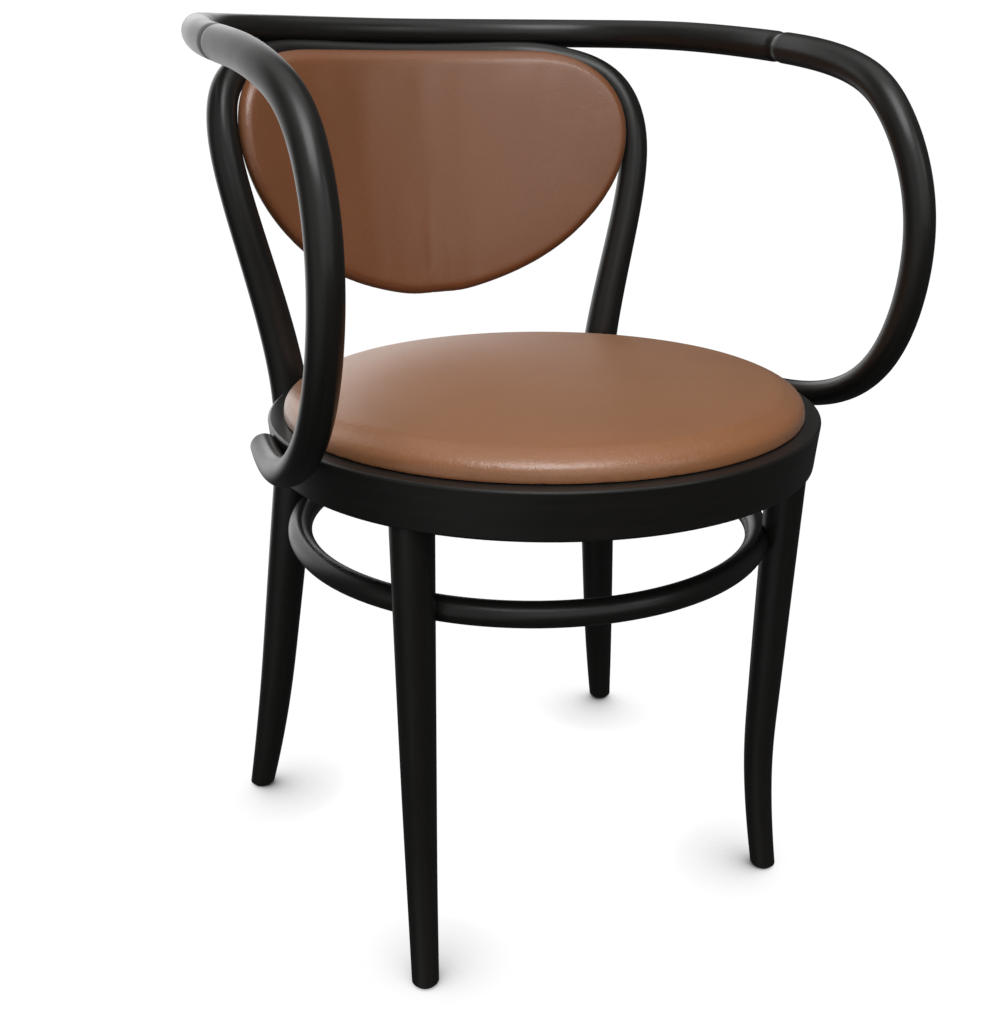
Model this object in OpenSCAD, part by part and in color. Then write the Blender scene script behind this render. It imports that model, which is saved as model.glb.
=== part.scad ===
// Bentwood armchair with an upholstered seat and back.
// Millimetres, +Z up, the sitter faces -Y and the floor is at z = 0.
// Every place is first measured from the middle of the seat ring, and placed() then
// moves the whole chair so that its box is centred on the origin.

/* [Seat ring] */
// Outer radius of the seat ring at its top edge
seat_ring_r = 229; // [220:1:240]
// Width of the seat ring's wood from its outside to its inside
seat_ring_w = 42; // [40:1:48]
// Height of the seat ring's wood
seat_ring_h = 38; // [35:1:42]
// Height of the seat ring's top face above the floor
seat_ring_top = 441; // [420:1:460]
// How much smaller the seat ring is at its bottom edge than at its top
seat_ring_taper = 3; // [1:0.5:5]
// Radius of the roundings on the seat ring's edges
seat_ring_edge = 2; // [1:0.5:3]

/* [Seat] */
// Width of the seat ring's top that shows outside the seat pad
seat_margin = 13; // [7:1:19]
// Height of the seat pad's rim above the seat ring
seat_pad_h = 18; // [16:1:24]
// Extra height of the seat pad at its middle
seat_crown = 4; // [2:0.5:8]
// Radius of the seat pad's rolled edge
seat_roll = 12; // [8:1:14]
// Thickness of the plywood seat board
seat_board_t = 9; // [8:0.5:12]
// How far the seat board is let into the seat ring
seat_board_sink = 5; // [4:0.5:6]
// Width of the seat board's bearing on the seat ring
seat_board_lap = 18; // [15:1:20]
// Thickness of the leather
leather_t = 1.2; // [0.8:0.1:1.6]

/* [Bow] */
// Height of the top rail's middle line above the seat ring
rail_rise = 300; // [280:1:320]
// Distance of the top rail's middle line behind the seat ring
rail_back = 69; // [56:1:81]
// Distance of the arms' middle lines outside the seat ring
arm_out = 21; // [16:1:36]
// Reach of the arms ahead of the middle of the seat ring
arm_y = 176; // [160:1:190]
// Depth of the arms' lower bend below the seat ring's top
arm_drop = 17; // [11:1:21]
// Distance of the arms' ends behind the middle of the seat ring
arm_end_y = 26; // [18:1:30]
// Radius of the bow's rod
bow_rod_r = 12.7; // [11.5:0.1:14]
// Radius of the dowels that join the arms to the top rail
arm_dowel_r = 5; // [4:0.5:6]
// Length of the dowels that join the arms to the top rail
arm_dowel_l = 50; // [40:1:60]

/* [Hoop and rear legs] */
// Direction of the rear legs from the middle of the seat ring, from the side
rear_leg_angle = 47.8; // [44:0.2:52]
// Distance that the rear feet stand outside the rear legs' place at the seat ring
rear_splay = 63; // [50:1:75]
// Radius of the rear legs where they are thickest
rear_leg_r = 18.8; // [17.5:0.1:20]
// Radius of the rear legs where they pass the seat ring
rear_leg_ring_r = 16.9; // [16:0.1:18]
// Distance of the hoop's shoulders inside the seat ring's side
hoop_inset = 18; // [12:1:24]
// Distance of the hoop's sides inside the seat ring's back
hoop_side_inset = 48; // [41:1:57]
// Radius of the hoop's rod at its top
hoop_top_r = 12; // [11:0.1:13]
// Slope from the hoop's top up to the top rail that rests against it
rail_rest_angle = 53; // [45:1:60]

/* [Front legs] */
// Distance of the front legs' tops inside the middle of the seat ring's wood
front_leg_inset = 1; // [-2:0.5:4]
// Direction of the front legs from the middle of the seat ring, from the side
front_leg_angle = 34.5; // [28:0.5:40]
// Radius of the front legs at the top
front_leg_r = 16.8; // [15:0.1:17.5]
// How far the front feet kick forward
front_kick = 7.5; // [0:0.5:12]
// Radius of the tenons on top of the front legs
tenon_r = 11; // [9:0.5:12]
// Length of the tenons on top of the front legs
tenon_l = 25; // [20:1:27]
// Height of the glides under the feet
glide_t = 2.5; // [2:0.5:4]

/* [Leg ring] */
// Distance of the leg ring's middle line below the seat ring
leg_ring_drop = 75; // [55:1:100]
// Distance of the leg ring's middle behind the middle of the seat ring
leg_ring_y = 24; // [20:1:30]
// Radius of the leg ring's rod
leg_ring_rod_r = 10.3; // [9:0.1:12]
// Depth that the leg ring is let into each front leg
front_housing = 7; // [4:0.5:8]
// Depth that the leg ring is let into each rear leg
rear_housing = 2; // [1:0.5:4]

/* [Back pad] */
// Half the width of the back pad less than half the hoop's inner width
back_side_gap = 1.1; // [1:0.1:3]
// Height of the back pad's top edge above the middle line of the hoop's top
back_rise = 4; // [0:0.5:6]
// Height of the back pad
back_h = 219; // [205:1:230]
// Distance that the back pad's bottom leans forward of its top
back_lean = 45; // [35:1:50]
// Depth of the back pad's bow from side to side
back_bow = 59; // [54:1:64]
// Thickness of the back board
back_board_t = 8; // [6:0.5:9]
// Thickness of the foam on the back board
back_foam_t = 11; // [8:0.5:14]
// Radius of the back pad's rolled edge
back_roll = 11; // [8:0.5:14]

/* [Bolts and screws] */
// Radius of the rear leg bolts
bolt_r = 4; // [3:0.5:5]
// Radius of the threaded sleeves in the rear legs
sleeve_r = 6; // [5.5:0.5:7]
// Length of the threaded sleeves in the rear legs
sleeve_l = 20; // [16:1:22]
// Radius of the bolt washers
washer_r = 9; // [8:0.5:11]
// Thickness of the bolt washers
washer_t = 1.6; // [1:0.1:2.5]
// Radius of the wood screws
screw_r = 2.2; // [1.8:0.1:2.6]
// Radius of the wood screws' heads
screw_head_r = 4.4; // [4:0.1:5]

/* [Hidden] */

// Colours as the photograph shows them
black_beech = [0.12, 0.11, 0.11];
tan_leather = [0.52, 0.37, 0.29];
plain_ply = [0.76, 0.62, 0.42];
pale_foam = [0.88, 0.84, 0.70];
black_cloth = [0.09, 0.09, 0.10];
bright_steel = [0.70, 0.70, 0.72];
brass_yellow = [0.72, 0.56, 0.28];
black_nylon = [0.06, 0.06, 0.06];

// Fineness of the round forms and of the rods
$fn = 96;
small_fn = 32;
rod_sides = 16;
rounding_steps = 4;
roll_steps = 5;
crown_steps = 8;

// Clearances
fit_gap = 0.1;   // round a screw, a dowel or a tenon in its hole
let_gap = 0.3;   // between curved wood faces that bear on each other
layer_gap = 0.2; // between the layers of an upholstered pad
overrun = 1;     // how far a cut runs past the face that it opens

// Heights and widths that follow from the sizes above
seat_ring_bottom = seat_ring_top - seat_ring_h;
seat_ring_mid = seat_ring_top - seat_ring_h / 2;
seat_ring_inner_r = seat_ring_r - seat_ring_w;
mid_ring_r = seat_ring_r - seat_ring_taper / 2;
seat_pad_r = seat_ring_r - seat_margin;
seat_board_r = seat_ring_inner_r + seat_board_lap;
rail_z = seat_ring_top + rail_rise;
rail_y = seat_ring_r + rail_back;
arm_x = seat_ring_r + arm_out;
arm_low_z = seat_ring_top - arm_drop;
hoop_x = seat_ring_r - hoop_inset;
hoop_side_y = seat_ring_r - hoop_side_inset;
front_leg_pitch = seat_ring_r - seat_ring_w / 2 - front_leg_inset;
leg_ring_z = seat_ring_bottom - leg_ring_drop;

module placed() translate([0, seat_ring_y, 0]) children();

module mirrored_pair() {
    children();
    mirror([1, 0, 0]) children();
}

// Puts its child's +Z along a spoke of the seat ring, pointing outwards
module on_spoke(angle, height) rotate([0, 0, angle]) translate([0, 0, height]) rotate([0, 90, 0]) children();

// Moves its child to a place and turns its +Z along a direction
module aimed(from, along) {
    flat = norm([along.x, along.y]);
    translate(from) rotate([0, atan2(flat, along.z), atan2(along.y, along.x)]) children();
}

// Curves: control points [x, y, z, radius] of a cubic spline that starts and ends on them
function knot(i, n) = min(max(i - 3, 0), n - 3);
function blended(p, i, r, u) = r == 0 ? p[i] :
    let (low = knot(i, len(p)), high = knot(i + 4 - r, len(p)), part = (u - low) / (high - low))
    (1 - part) * blended(p, i - 1, r - 1, u) + part * blended(p, i, r - 1, u);
function curve_at(p, u) = blended(p, min(floor(u), len(p) - 4) + 3, 3, u);
function spans(p) = len(p) - 3;
function place(q) = [q.x, q.y, q.z];
function unit(v) = v / norm(v);
function heading(p, u) = let (step = 0.01, low = max(u - step, 0), high = min(u + step, spans(p)))
    unit(place(curve_at(p, high)) - place(curve_at(p, low)));
// The control point that makes the curve pass through a place, between two other control points
function through(q, before, after) = (6 * q - before - after) / 4;
function reversed(list) = [for (i = [len(list) - 1 : -1 : 0]) list[i]];
function both_halves(half) = concat(half, [for (i = [len(half) - 1 : -1 : 0])
    [-half[i].x, half[i].y, half[i].z, half[i][3]]]);
function samples(p, from, to, steps) = [for (i = [0 : steps]) curve_at(p, from + (to - from) * i / steps)];
// The place at height z on a path that rises from its start
function at_height(path, z) = let (
        above = [for (i = [1 : len(path) - 1]) if (path[i].z >= z) i],
        i = len(above) == 0 ? len(path) - 1 : above[0],
        part = (z - path[i - 1].z) / (path[i].z - path[i - 1].z)
    ) (1 - part) * path[i - 1] + part * path[i];

// Rods: rings of points round a curve, joined by a skin with flat ends
function ring_points(p, u, side, share = 1) = let (
        q = curve_at(p, u),
        along = heading(p, u),
        across = unit(cross(along, side)),
        up = cross(across, along)
    ) [for (k = [0 : rod_sides - 1]) let (a = 360 * k / rod_sides)
        place(q) + share * q[3] * (cos(a) * across + sin(a) * up)];
// Slides a ring's points along the curve until they lie in the level plane at z
function levelled(points, along, z) = [for (q = points) q + along * (z - q.z) / along.z];

module skin(rings, closed = false) {
    count = len(rings[0]);
    last = len(rings) - 1;
    points = [for (r = rings) each r];
    corners = [for (i = [0 : closed ? last : last - 1], k = [0 : count - 1])
        let (next = (k + 1) % count, far = (i + 1) % len(rings))
        [i * count + k, i * count + next, far * count + next, far * count + k]];
    // Each field is split along its shorter diagonal, so that layers that lie on each other match
    sides = [for (c = corners) each norm(points[c[0]] - points[c[2]]) <= norm(points[c[1]] - points[c[3]])
        ? [[c[0], c[1], c[2]], [c[0], c[2], c[3]]]
        : [[c[0], c[1], c[3]], [c[1], c[2], c[3]]]];
    start = [for (k = [1 : count - 2]) [0, k + 1, k]];
    finish = [for (k = [1 : count - 2]) [last * count, last * count + k, last * count + k + 1]];
    polyhedron(points = points, faces = concat(sides, closed ? [] : concat(start, finish)), convexity = 6);
}

// Screws, bolts and their holes, all driven along +Z from z = 0
screw_head_h = screw_head_r - screw_r;
screw_tip_h = screw_r * 2;
module wood_screw(length) {
    cylinder(h = screw_head_h, r1 = screw_head_r, r2 = screw_r, $fn = small_fn);
    translate([0, 0, screw_head_h])
        cylinder(h = length - screw_head_h - screw_tip_h, r = screw_r, $fn = small_fn);
    translate([0, 0, length - screw_tip_h])
        cylinder(h = screw_tip_h, r1 = screw_r, r2 = screw_r / 4, $fn = small_fn);
}
module screw_hole(length) {
    translate([0, 0, -overrun]) cylinder(h = length + overrun + fit_gap, r = screw_r + fit_gap, $fn = small_fn);
    cylinder(h = screw_head_h + fit_gap, r1 = screw_head_r + fit_gap, r2 = screw_r, $fn = small_fn);
    translate([0, 0, -seat_ring_w]) cylinder(h = seat_ring_w, r = screw_head_r + fit_gap, $fn = small_fn);
}

// Bow: the two arms and the top rail follow one curve.
// Shares of arm_x, of arm_y (ahead) or rail_y (behind), of the rise to the rail, and of bow_rod_r
arm_shares = [
    [0.955, 0.010, 0.010, 0.86],
    [1.002, -0.360, 0.008, 0.845],
    [0.984, -0.843, 0.160, 0.97],
    [0.964, -1.000, 0.550, 0.94],
    [0.948, -0.733, 0.818, 0.98],
    [0.976, -0.443, 0.893, 0.98],
    [0.980, -0.119, 0.931, 1.01]
];
rail_shares = [
    [1.000, 0.181, 0.956, 1.00],
    [0.924, 0.513, 0.987, 1.00],
    [0.788, 0.826, 0.997, 1.02],
    [0.448, 0.963, 1.000, 1.02],
    [0.108, 1.000, 1.000, 0.98]
];
arm_end_r_share = 0.85;
arm_end_r = arm_end_r_share * bow_rod_r;
arm_end_scribe = 2.2; // how deep an arm's end is cut to the seat ring's curve
arm_end_rise = 5;     // how far the arms' ends are above their lowest place
arm_end_z = arm_low_z + arm_end_rise;
arm_end_reach = mid_ring_r + arm_end_r - arm_end_scribe;
arm_end_x = sqrt(arm_end_reach * arm_end_reach - arm_end_y * arm_end_y);
bow_rise = rail_z - arm_low_z;
bow_half = concat(
    [[arm_end_x, arm_end_y, arm_end_z, arm_end_r]],
    [for (s = arm_shares) [s.x * arm_x, s.y * arm_y, arm_low_z + s.z * bow_rise, s[3] * bow_rod_r]],
    [for (s = rail_shares) [s.x * arm_x, s.y * rail_y, arm_low_z + s.z * bow_rise, s[3] * bow_rod_r]]
);
bow = both_halves(bow_half);
bow_middle = curve_at(bow, spans(bow) / 2);
seat_ring_y = (seat_ring_r - bow_middle.y - bow_middle[3]) / 2;
arm_joint_share = 0.574; // place of the joint between arm and rail, of half the bow's spans
arm_joint = arm_joint_share * spans(bow) / 2;
bow_side = [1, 1, 1];
arm_steps = 32;
rail_steps = 40;
waist_share = 0.91; // radius of the bow at its two joints, of its radius beside them
waist_span = 0.08;  // reach of that waist along the curve, in spans

function beside_joint(u) = abs(min(u, spans(bow) - u) - arm_joint);
function waist_at(u) = 1 - (1 - waist_share) * max(0, 1 - beside_joint(u) / waist_span);
function bow_ring(u) = ring_points(bow, u, bow_side, waist_at(u));

// Screw through the hoop into the rail, where the two rods touch
rail_touch = spans(bow) / 2 - 1.5; // the spline station over the last but one pair of control points
rail_at_touch = curve_at(bow, rail_touch);
rest_dir = [0, cos(rail_rest_angle), sin(rail_rest_angle)];
rest_distance = rail_at_touch[3] + hoop_top_r + 2 * let_gap;
hoop_at_touch = place(rail_at_touch) - rest_distance * rest_dir;

// Hoop: one rod makes both rear legs and the frame of the back
rear_leg_reach = mid_ring_r + rear_leg_ring_r + let_gap;
rear_foot_turn = -0.3; // degrees that the rear feet turn towards the side
function spoke(reach, angle, z, r) = [reach * cos(angle), reach * sin(angle), z, r];
// Shares of rear_splay, of seat_ring_top, and of rear_leg_r, from the floor up
rear_leg_shares = [
    [1.000, 0.00, 0.635],
    [0.675, 0.19, 0.835],
    [0.420, 0.42, 0.890],
    [0.108, 0.70, 1.000]
];
rear_leg_low = [for (s = rear_leg_shares) spoke(rear_leg_reach + s.x * rear_splay,
    rear_leg_angle + rear_foot_turn, glide_t + s.y * (seat_ring_top - glide_t), s.z * rear_leg_r)];
// Shares of hoop_x, of hoop_side_y, of the rise from the seat ring to the rail, and of hoop_top_r
hoop_side_shares = [
    [0.884, 0.985, 0.349, 1.20],
    [1.000, 1.017, 0.684, 1.11],
    [0.933, 1.196, 0.876, 1.03]
];
hoop_side = [for (s = hoop_side_shares) [s.x * hoop_x, s.y * hoop_side_y,
    seat_ring_top + s.z * (rail_z - seat_ring_top), s[3] * hoop_top_r]];
rear_leg_at_ring = through(spoke(rear_leg_reach, rear_leg_angle, seat_ring_mid, rear_leg_ring_r),
    rear_leg_low[3], hoop_side[0]);
hoop_dip = 2.2;            // how far the hoop's top dips between its two touches with the rail
hoop_mid_x_share = 0.144;   // of arm_x, place of the hoop's last control point
hoop_shoulder_share = 0.65; // length of the hoop's shoulder against the rail's own step there
rail_end = bow_half[len(bow_half) - 1];
rail_step = bow_half[len(bow_half) - 3] - rail_end;
hoop_mid = [hoop_mid_x_share * arm_x, rail_end.y - rest_distance * rest_dir.y - hoop_dip / 2,
    rail_end.z - rest_distance * rest_dir.z - hoop_dip, hoop_top_r];
hoop_shoulder = [hoop_mid.x + hoop_shoulder_share * rail_step.x,
    hoop_mid.y + hoop_shoulder_share * rail_step.y,
    hoop_mid.z + hoop_shoulder_share * rail_step.z, hoop_top_r];
hoop_touch = through([hoop_at_touch.x, hoop_at_touch.y, hoop_at_touch.z, hoop_top_r], hoop_shoulder, hoop_mid);
hoop = both_halves(concat(rear_leg_low, [rear_leg_at_ring], hoop_side, [hoop_shoulder, hoop_touch, hoop_mid]));
hoop_steps = 78;
hoop_side_dir = [0, 1, 0];
hoop_half_path = samples(hoop, 0, spans(hoop) / 2, 160);
hoop_leg_path = [for (q = hoop_half_path) if (q.z < seat_ring_top) q];

// Front legs
front_leg_top = spoke(front_leg_pitch, -front_leg_angle, seat_ring_bottom, front_leg_r);
// Shares of front_kick sideways and forward, of the leg's height, and of front_leg_r
front_leg_shares = [
    [0.40, -1.00, 0.000, 0.67],
    [-0.30, 0.95, 0.215, 0.75],
    [-0.20, 0.70, 0.400, 0.83],
    [-0.13, 0.50, 0.650, 0.905],
    [0.00, 0.00, 1.000, 1.00]
];
front_leg = [for (s = front_leg_shares) [
    front_leg_top.x + s.x * front_kick,
    front_leg_top.y + s.y * front_kick,
    glide_t + s.z * (seat_ring_bottom - glide_t),
    s[3] * front_leg_r]];
front_leg_steps = 16;
front_leg_path = samples(front_leg, 0, spans(front_leg), 120);
front_screw_z = seat_ring_bottom + tenon_l / 2;

// Leg ring: round in front, where it is let into the front legs, and drawn out a little behind,
// as half an ellipse, to be let into the rear legs as well
front_hold = at_height(front_leg_path, leg_ring_z);
rear_hold = at_height(hoop_leg_path, leg_ring_z);
leg_ring_r = norm([front_hold.x, front_hold.y - leg_ring_y]) - front_hold[3] - leg_ring_rod_r + front_housing;
rear_stand = leg_ring_rod_r + rear_hold[3] - rear_housing; // from the ring's middle line to the rear leg's
// Angle and depth of the ellipse whose parallel at rear_stand meets the rear leg's middle line
function rear_fit(angle, depth, tries) = tries == 0 ? [angle, depth] :
    let (
        m = norm([depth * cos(angle), leg_ring_r * sin(angle)]),
        turned = acos(min(1, rear_hold.x / (leg_ring_r + rear_stand * depth / m)))
    ) rear_fit(turned, (rear_hold.y - leg_ring_y) / sin(turned) - rear_stand * leg_ring_r / m, tries - 1);
rear_fit_tries = 24;
rear_fitted = rear_fit(rear_leg_angle, leg_ring_r, rear_fit_tries);
function leg_ring_depth(t) = sin(t) > 0 ? rear_fitted[1] : leg_ring_r;
function leg_ring_at(t) = [leg_ring_r * cos(t), leg_ring_y + leg_ring_depth(t) * sin(t), leg_ring_z];
function leg_ring_out(t) = unit([leg_ring_depth(t) * cos(t), leg_ring_r * sin(t), 0]);
leg_ring_steps = 60;
leg_ring_sides = 12;
leg_ring_hold = 18; // half the angle of the ring's length that a leg is cut for
front_hold_angle = atan2(front_hold.y - leg_ring_y, front_hold.x);
rear_hold_angle = rear_fitted[0];
leg_ring_screw_l = 2 * leg_ring_rod_r + front_leg_r * 0.7;

// Starts on the inside of the leg ring and points out into a leg
module leg_ring_spoke(t) aimed(leg_ring_at(t) - leg_ring_out(t) * leg_ring_rod_r, leg_ring_out(t)) children();
function leg_ring_ring(t, grown) = [for (k = [0 : leg_ring_sides - 1]) let (a = 360 * k / leg_ring_sides)
    leg_ring_at(t) + (leg_ring_rod_r + grown) * (cos(a) * leg_ring_out(t) + sin(a) * [0, 0, 1])];
module leg_ring_body() skin([for (i = [0 : leg_ring_steps - 1]) leg_ring_ring(360 * i / leg_ring_steps, 0)], true);
// The stretch of the leg ring beside a leg, grown by a gap, in the same steps as the ring itself
module leg_ring_stretch(t) {
    step = 360 / leg_ring_steps;
    skin([for (i = [floor((t - leg_ring_hold) / step) : ceil((t + leg_ring_hold) / step)])
        leg_ring_ring(i * step, let_gap)]);
}

// Outside of the seat ring, grown by a gap, for cutting what bears on it
module seat_ring_outside(grown) translate([0, 0, seat_ring_bottom])
    cylinder(h = seat_ring_h, r1 = seat_ring_r - seat_ring_taper + grown, r2 = seat_ring_r + grown, $fn = 256);

// Seat ring
seat_rebate = seat_board_sink + leather_t + layer_gap;
seat_rebate_r = seat_board_r + leather_t + 2 * layer_gap;
socket_depth = tenon_l + 2 * fit_gap;
bolt_z = seat_ring_mid;
bolt_head_h = bolt_r * 1.3;
bolt_head_r = bolt_r * 1.85;
spot_face = washer_t; // depth of the flat that a washer seats on
bolt_start = seat_ring_inner_r + spot_face;
bolt_end = rear_leg_reach + rear_leg_ring_r / 2;
arm_screw_z = arm_end_z;
arm_screw_angle = atan2(arm_end_y - arm_end_r, arm_end_x);
arm_screw_l = arm_end_reach + arm_end_r / 4 - seat_ring_inner_r;
front_screw_l = front_leg_pitch + tenon_r * 0.6 - seat_ring_inner_r;
seat_screw_angles = [20, 160, 245, 295];
seat_screw_pitch = (seat_ring_inner_r + seat_rebate_r) / 2;
seat_screw_sink = seat_ring_h / 2;
seat_screw_bite_share = 0.75; // of the seat board's thickness
seat_screw_l = seat_ring_h - seat_rebate - seat_screw_sink + layer_gap + leather_t + seat_screw_bite_share * seat_board_t;

function arc(middle, r, from, to, steps) = [for (i = [0 : steps]) let (a = from + (to - from) * i / steps)
    middle + r * [cos(a), sin(a)]];

function seat_ring_profile() = concat(
    [[seat_rebate_r, 0]],
    arc([seat_ring_r - seat_ring_edge, -seat_ring_edge], seat_ring_edge, 90, 0, rounding_steps),
    arc([seat_ring_r - seat_ring_taper - seat_ring_edge, seat_ring_edge - seat_ring_h], seat_ring_edge,
        0, -90, rounding_steps),
    arc([seat_ring_inner_r + seat_ring_edge, seat_ring_edge - seat_ring_h], seat_ring_edge,
        -90, -180, rounding_steps),
    [[seat_ring_inner_r, -seat_rebate], [seat_rebate_r, -seat_rebate]]
);

module seat_screw_places() for (a = seat_screw_angles) rotate([0, 0, a])
    translate([seat_screw_pitch, 0, seat_ring_bottom + seat_screw_sink]) children();

module seat_ring() placed() color(black_beech) difference() {
    translate([0, 0, seat_ring_top]) rotate_extrude() polygon(seat_ring_profile());
    mirrored_pair() {
        rotate([0, 0, -front_leg_angle]) translate([front_leg_pitch, 0, seat_ring_bottom - overrun])
            cylinder(h = socket_depth + overrun, r = tenon_r + fit_gap);
        on_spoke(-front_leg_angle, front_screw_z) translate([0, 0, seat_ring_inner_r]) screw_hole(front_screw_l);
        on_spoke(arm_screw_angle, arm_screw_z) translate([0, 0, seat_ring_inner_r]) screw_hole(arm_screw_l);
        on_spoke(rear_leg_angle, bolt_z) cylinder(h = bolt_end, r = bolt_r + fit_gap);
        on_spoke(rear_leg_angle, bolt_z) cylinder(h = bolt_start, r = washer_r + 2 * fit_gap);
    }
    seat_screw_places() screw_hole(seat_screw_l);
}

// Seat pad
seat_board_z = seat_ring_top - seat_board_sink;
seat_roll_turn = 75; // degrees that the rolled edge turns from the side towards the top

// Outside of the pad from the middle to its rolled side, inset by a thickness, above the seat ring's top
function pad_profile(inset) = concat(
    [for (i = [0 : crown_steps]) let (part = i / crown_steps)
        [(seat_pad_r - seat_roll) * part, seat_pad_h + seat_crown * (1 - part * part) - inset]],
    arc([seat_pad_r - seat_roll, seat_pad_h - seat_roll], seat_roll - inset, seat_roll_turn, 0, roll_steps)
);

module seat_board() placed() color(plain_ply) difference() {
    translate([0, 0, seat_board_z]) cylinder(h = seat_board_t, r = seat_board_r);
    seat_screw_places() screw_hole(seat_screw_l);
}

foam_z = seat_board_t - seat_board_sink + layer_gap; // underside of the foam, above the seat ring's top
tuck_r = seat_board_r + layer_gap;                   // inside of the leather beside the board
seat_tuck_w = seat_board_lap * 16 / 9;               // width of the leather turned under the board

module seat_foam() placed() color(pale_foam) translate([0, 0, seat_ring_top]) rotate_extrude()
    polygon(concat(
        [[0, foam_z]],
        pad_profile(leather_t + layer_gap),
        [[seat_pad_r - leather_t - layer_gap, foam_z]]
    ));

module seat_cover() placed() color(tan_leather) difference() {
    translate([0, 0, seat_ring_top]) rotate_extrude() polygon(concat(
        pad_profile(0),
        [
            [seat_pad_r - layer_gap, layer_gap],
            [tuck_r + leather_t, layer_gap],
            [tuck_r + leather_t, -seat_board_sink - leather_t],
            [tuck_r - seat_tuck_w, -seat_board_sink - leather_t],
            [tuck_r - seat_tuck_w, -seat_board_sink],
            [tuck_r, -seat_board_sink],
            [tuck_r, foam_z - layer_gap],
            [seat_pad_r - leather_t, foam_z - layer_gap]
        ],
        reversed(pad_profile(leather_t))
    ));
    seat_screw_places() screw_hole(seat_screw_l);
}

dust_cloth_t = 0.8;
module seat_dust_cover() placed() color(black_cloth)
    translate([0, 0, seat_board_z - leather_t - dust_cloth_t])
        cylinder(h = dust_cloth_t, r = seat_ring_inner_r - seat_ring_edge);

module seat_board_screws() placed() color(bright_steel) seat_screw_places() wood_screw(seat_screw_l);

// Bow nodes
arm_joint_at = place(curve_at(bow, arm_joint));
arm_joint_dir = heading(bow, arm_joint);
module arm_dowel(grown) translate(arm_joint_at) aimed([0, 0, 0], arm_joint_dir)
    translate([0, 0, -arm_dowel_l / 2 - grown]) cylinder(h = arm_dowel_l + 2 * grown, r = arm_dowel_r + grown);

// Each rail screw starts in the hoop's front and runs along the line of the two rods' middles
rail_screw_l = hoop_top_r + rail_at_touch[3] * 1.2;
module rail_screw_place() aimed(hoop_at_touch - rest_dir * hoop_top_r / 2, rest_dir) children();

module back_rail() placed() color(black_beech) difference() {
    skin(concat(
            [bow_ring(arm_joint)],
            [for (i = [0 : rail_steps]) let (start = arm_joint + waist_span)
                bow_ring(start + (spans(bow) - 2 * start) * i / rail_steps)],
            [bow_ring(spans(bow) - arm_joint)]
        ));
    mirrored_pair() {
        arm_dowel(fit_gap);
        rail_screw_place() screw_hole(rail_screw_l);
    }
}

module arm() color(black_beech) difference() {
    skin(concat(
        [for (i = [0 : arm_steps]) bow_ring((arm_joint - waist_span) * i / arm_steps)],
        [bow_ring(arm_joint)]
    ));
    arm_dowel(fit_gap);
    seat_ring_outside(let_gap);
    on_spoke(arm_screw_angle, arm_screw_z) translate([0, 0, seat_ring_inner_r]) screw_hole(arm_screw_l);
}
module arm_right() placed() arm();
module arm_left() placed() mirror([1, 0, 0]) arm();
module arm_dowels() placed() color(plain_ply) mirrored_pair() arm_dowel(0);
module arm_end_screws() placed() color(bright_steel) mirrored_pair()
    on_spoke(arm_screw_angle, arm_screw_z) translate([0, 0, seat_ring_inner_r]) wood_screw(arm_screw_l);
module rail_screws() placed() color(bright_steel) mirrored_pair() rail_screw_place() wood_screw(rail_screw_l);

// Glides, nailed into the feet
glide_nail_r = 1.5;
glide_nail_l = 14;
front_foot = front_leg[0];
rear_foot = hoop[0];
glide_r_share = 0.86; // of the foot's radius
module glide(foot) translate([foot.x, foot.y, 0]) {
    rotate_extrude() polygon([
        [0, 0],
        [foot[3] * glide_r_share - glide_t / 2, 0],
        [foot[3] * glide_r_share, glide_t / 2],
        [foot[3] * glide_r_share, glide_t],
        [0, glide_t]
    ]);
    translate([0, 0, glide_t]) cylinder(h = glide_nail_l, r = glide_nail_r, $fn = small_fn);
}
module glide_hole(foot) translate([foot.x, foot.y, 0])
    cylinder(h = glide_t + glide_nail_l + fit_gap, r = glide_nail_r + fit_gap, $fn = small_fn);
module foot_glides() placed() color(black_nylon) mirrored_pair() {
    glide(front_foot);
    glide(rear_foot);
}

// Screws that hold the back board: one through the hoop's top from behind, one through each side
back_screw_x = hoop_mid.x;
hoop_back_path = [for (q = hoop_half_path) if (q.z > seat_ring_top) q];
hoop_wide_x = max([for (q = hoop_back_path) q.x]);
hoop_wide = [for (q = hoop_back_path) if (q.x == hoop_wide_x) q][0];
back_w = hoop_wide.x - hoop_wide[3] - back_side_gap;
back_t = leather_t * 2 + layer_gap * 3 + back_board_t + back_foam_t;
hoop_middle = curve_at(hoop, spans(hoop) / 2);
back_top_z = hoop_middle.z + back_rise;
back_top_y = hoop_middle.y - hoop_middle[3] - back_t / 2 - let_gap;

// Middle surface of the back pad: leans back and is bowed round the sitter
function back_y(x, z) = back_top_y - back_lean * (back_top_z - z) / back_h - back_bow * x * x / (back_w * back_w);

// Outline of the back pad, right half from the top to the bottom, as shares of its half width and height
back_outline_shares = [
    [0.13, 1.000], [0.52, 1.000], [0.81, 1.000], [1.030, 0.820],
    [0.995, 0.465], [0.64, 0.123], [0.19, 0.000], [0.07, 0.000]
];
function outline_control() = let (n = len(back_outline_shares)) concat(
    [for (s = back_outline_shares) [s.x * back_w, back_top_z - (1 - s.y) * back_h]],
    [for (i = [n - 1 : -1 : 0]) let (s = back_outline_shares[i]) [-s.x * back_w, back_top_z - (1 - s.y) * back_h]]
);
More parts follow.
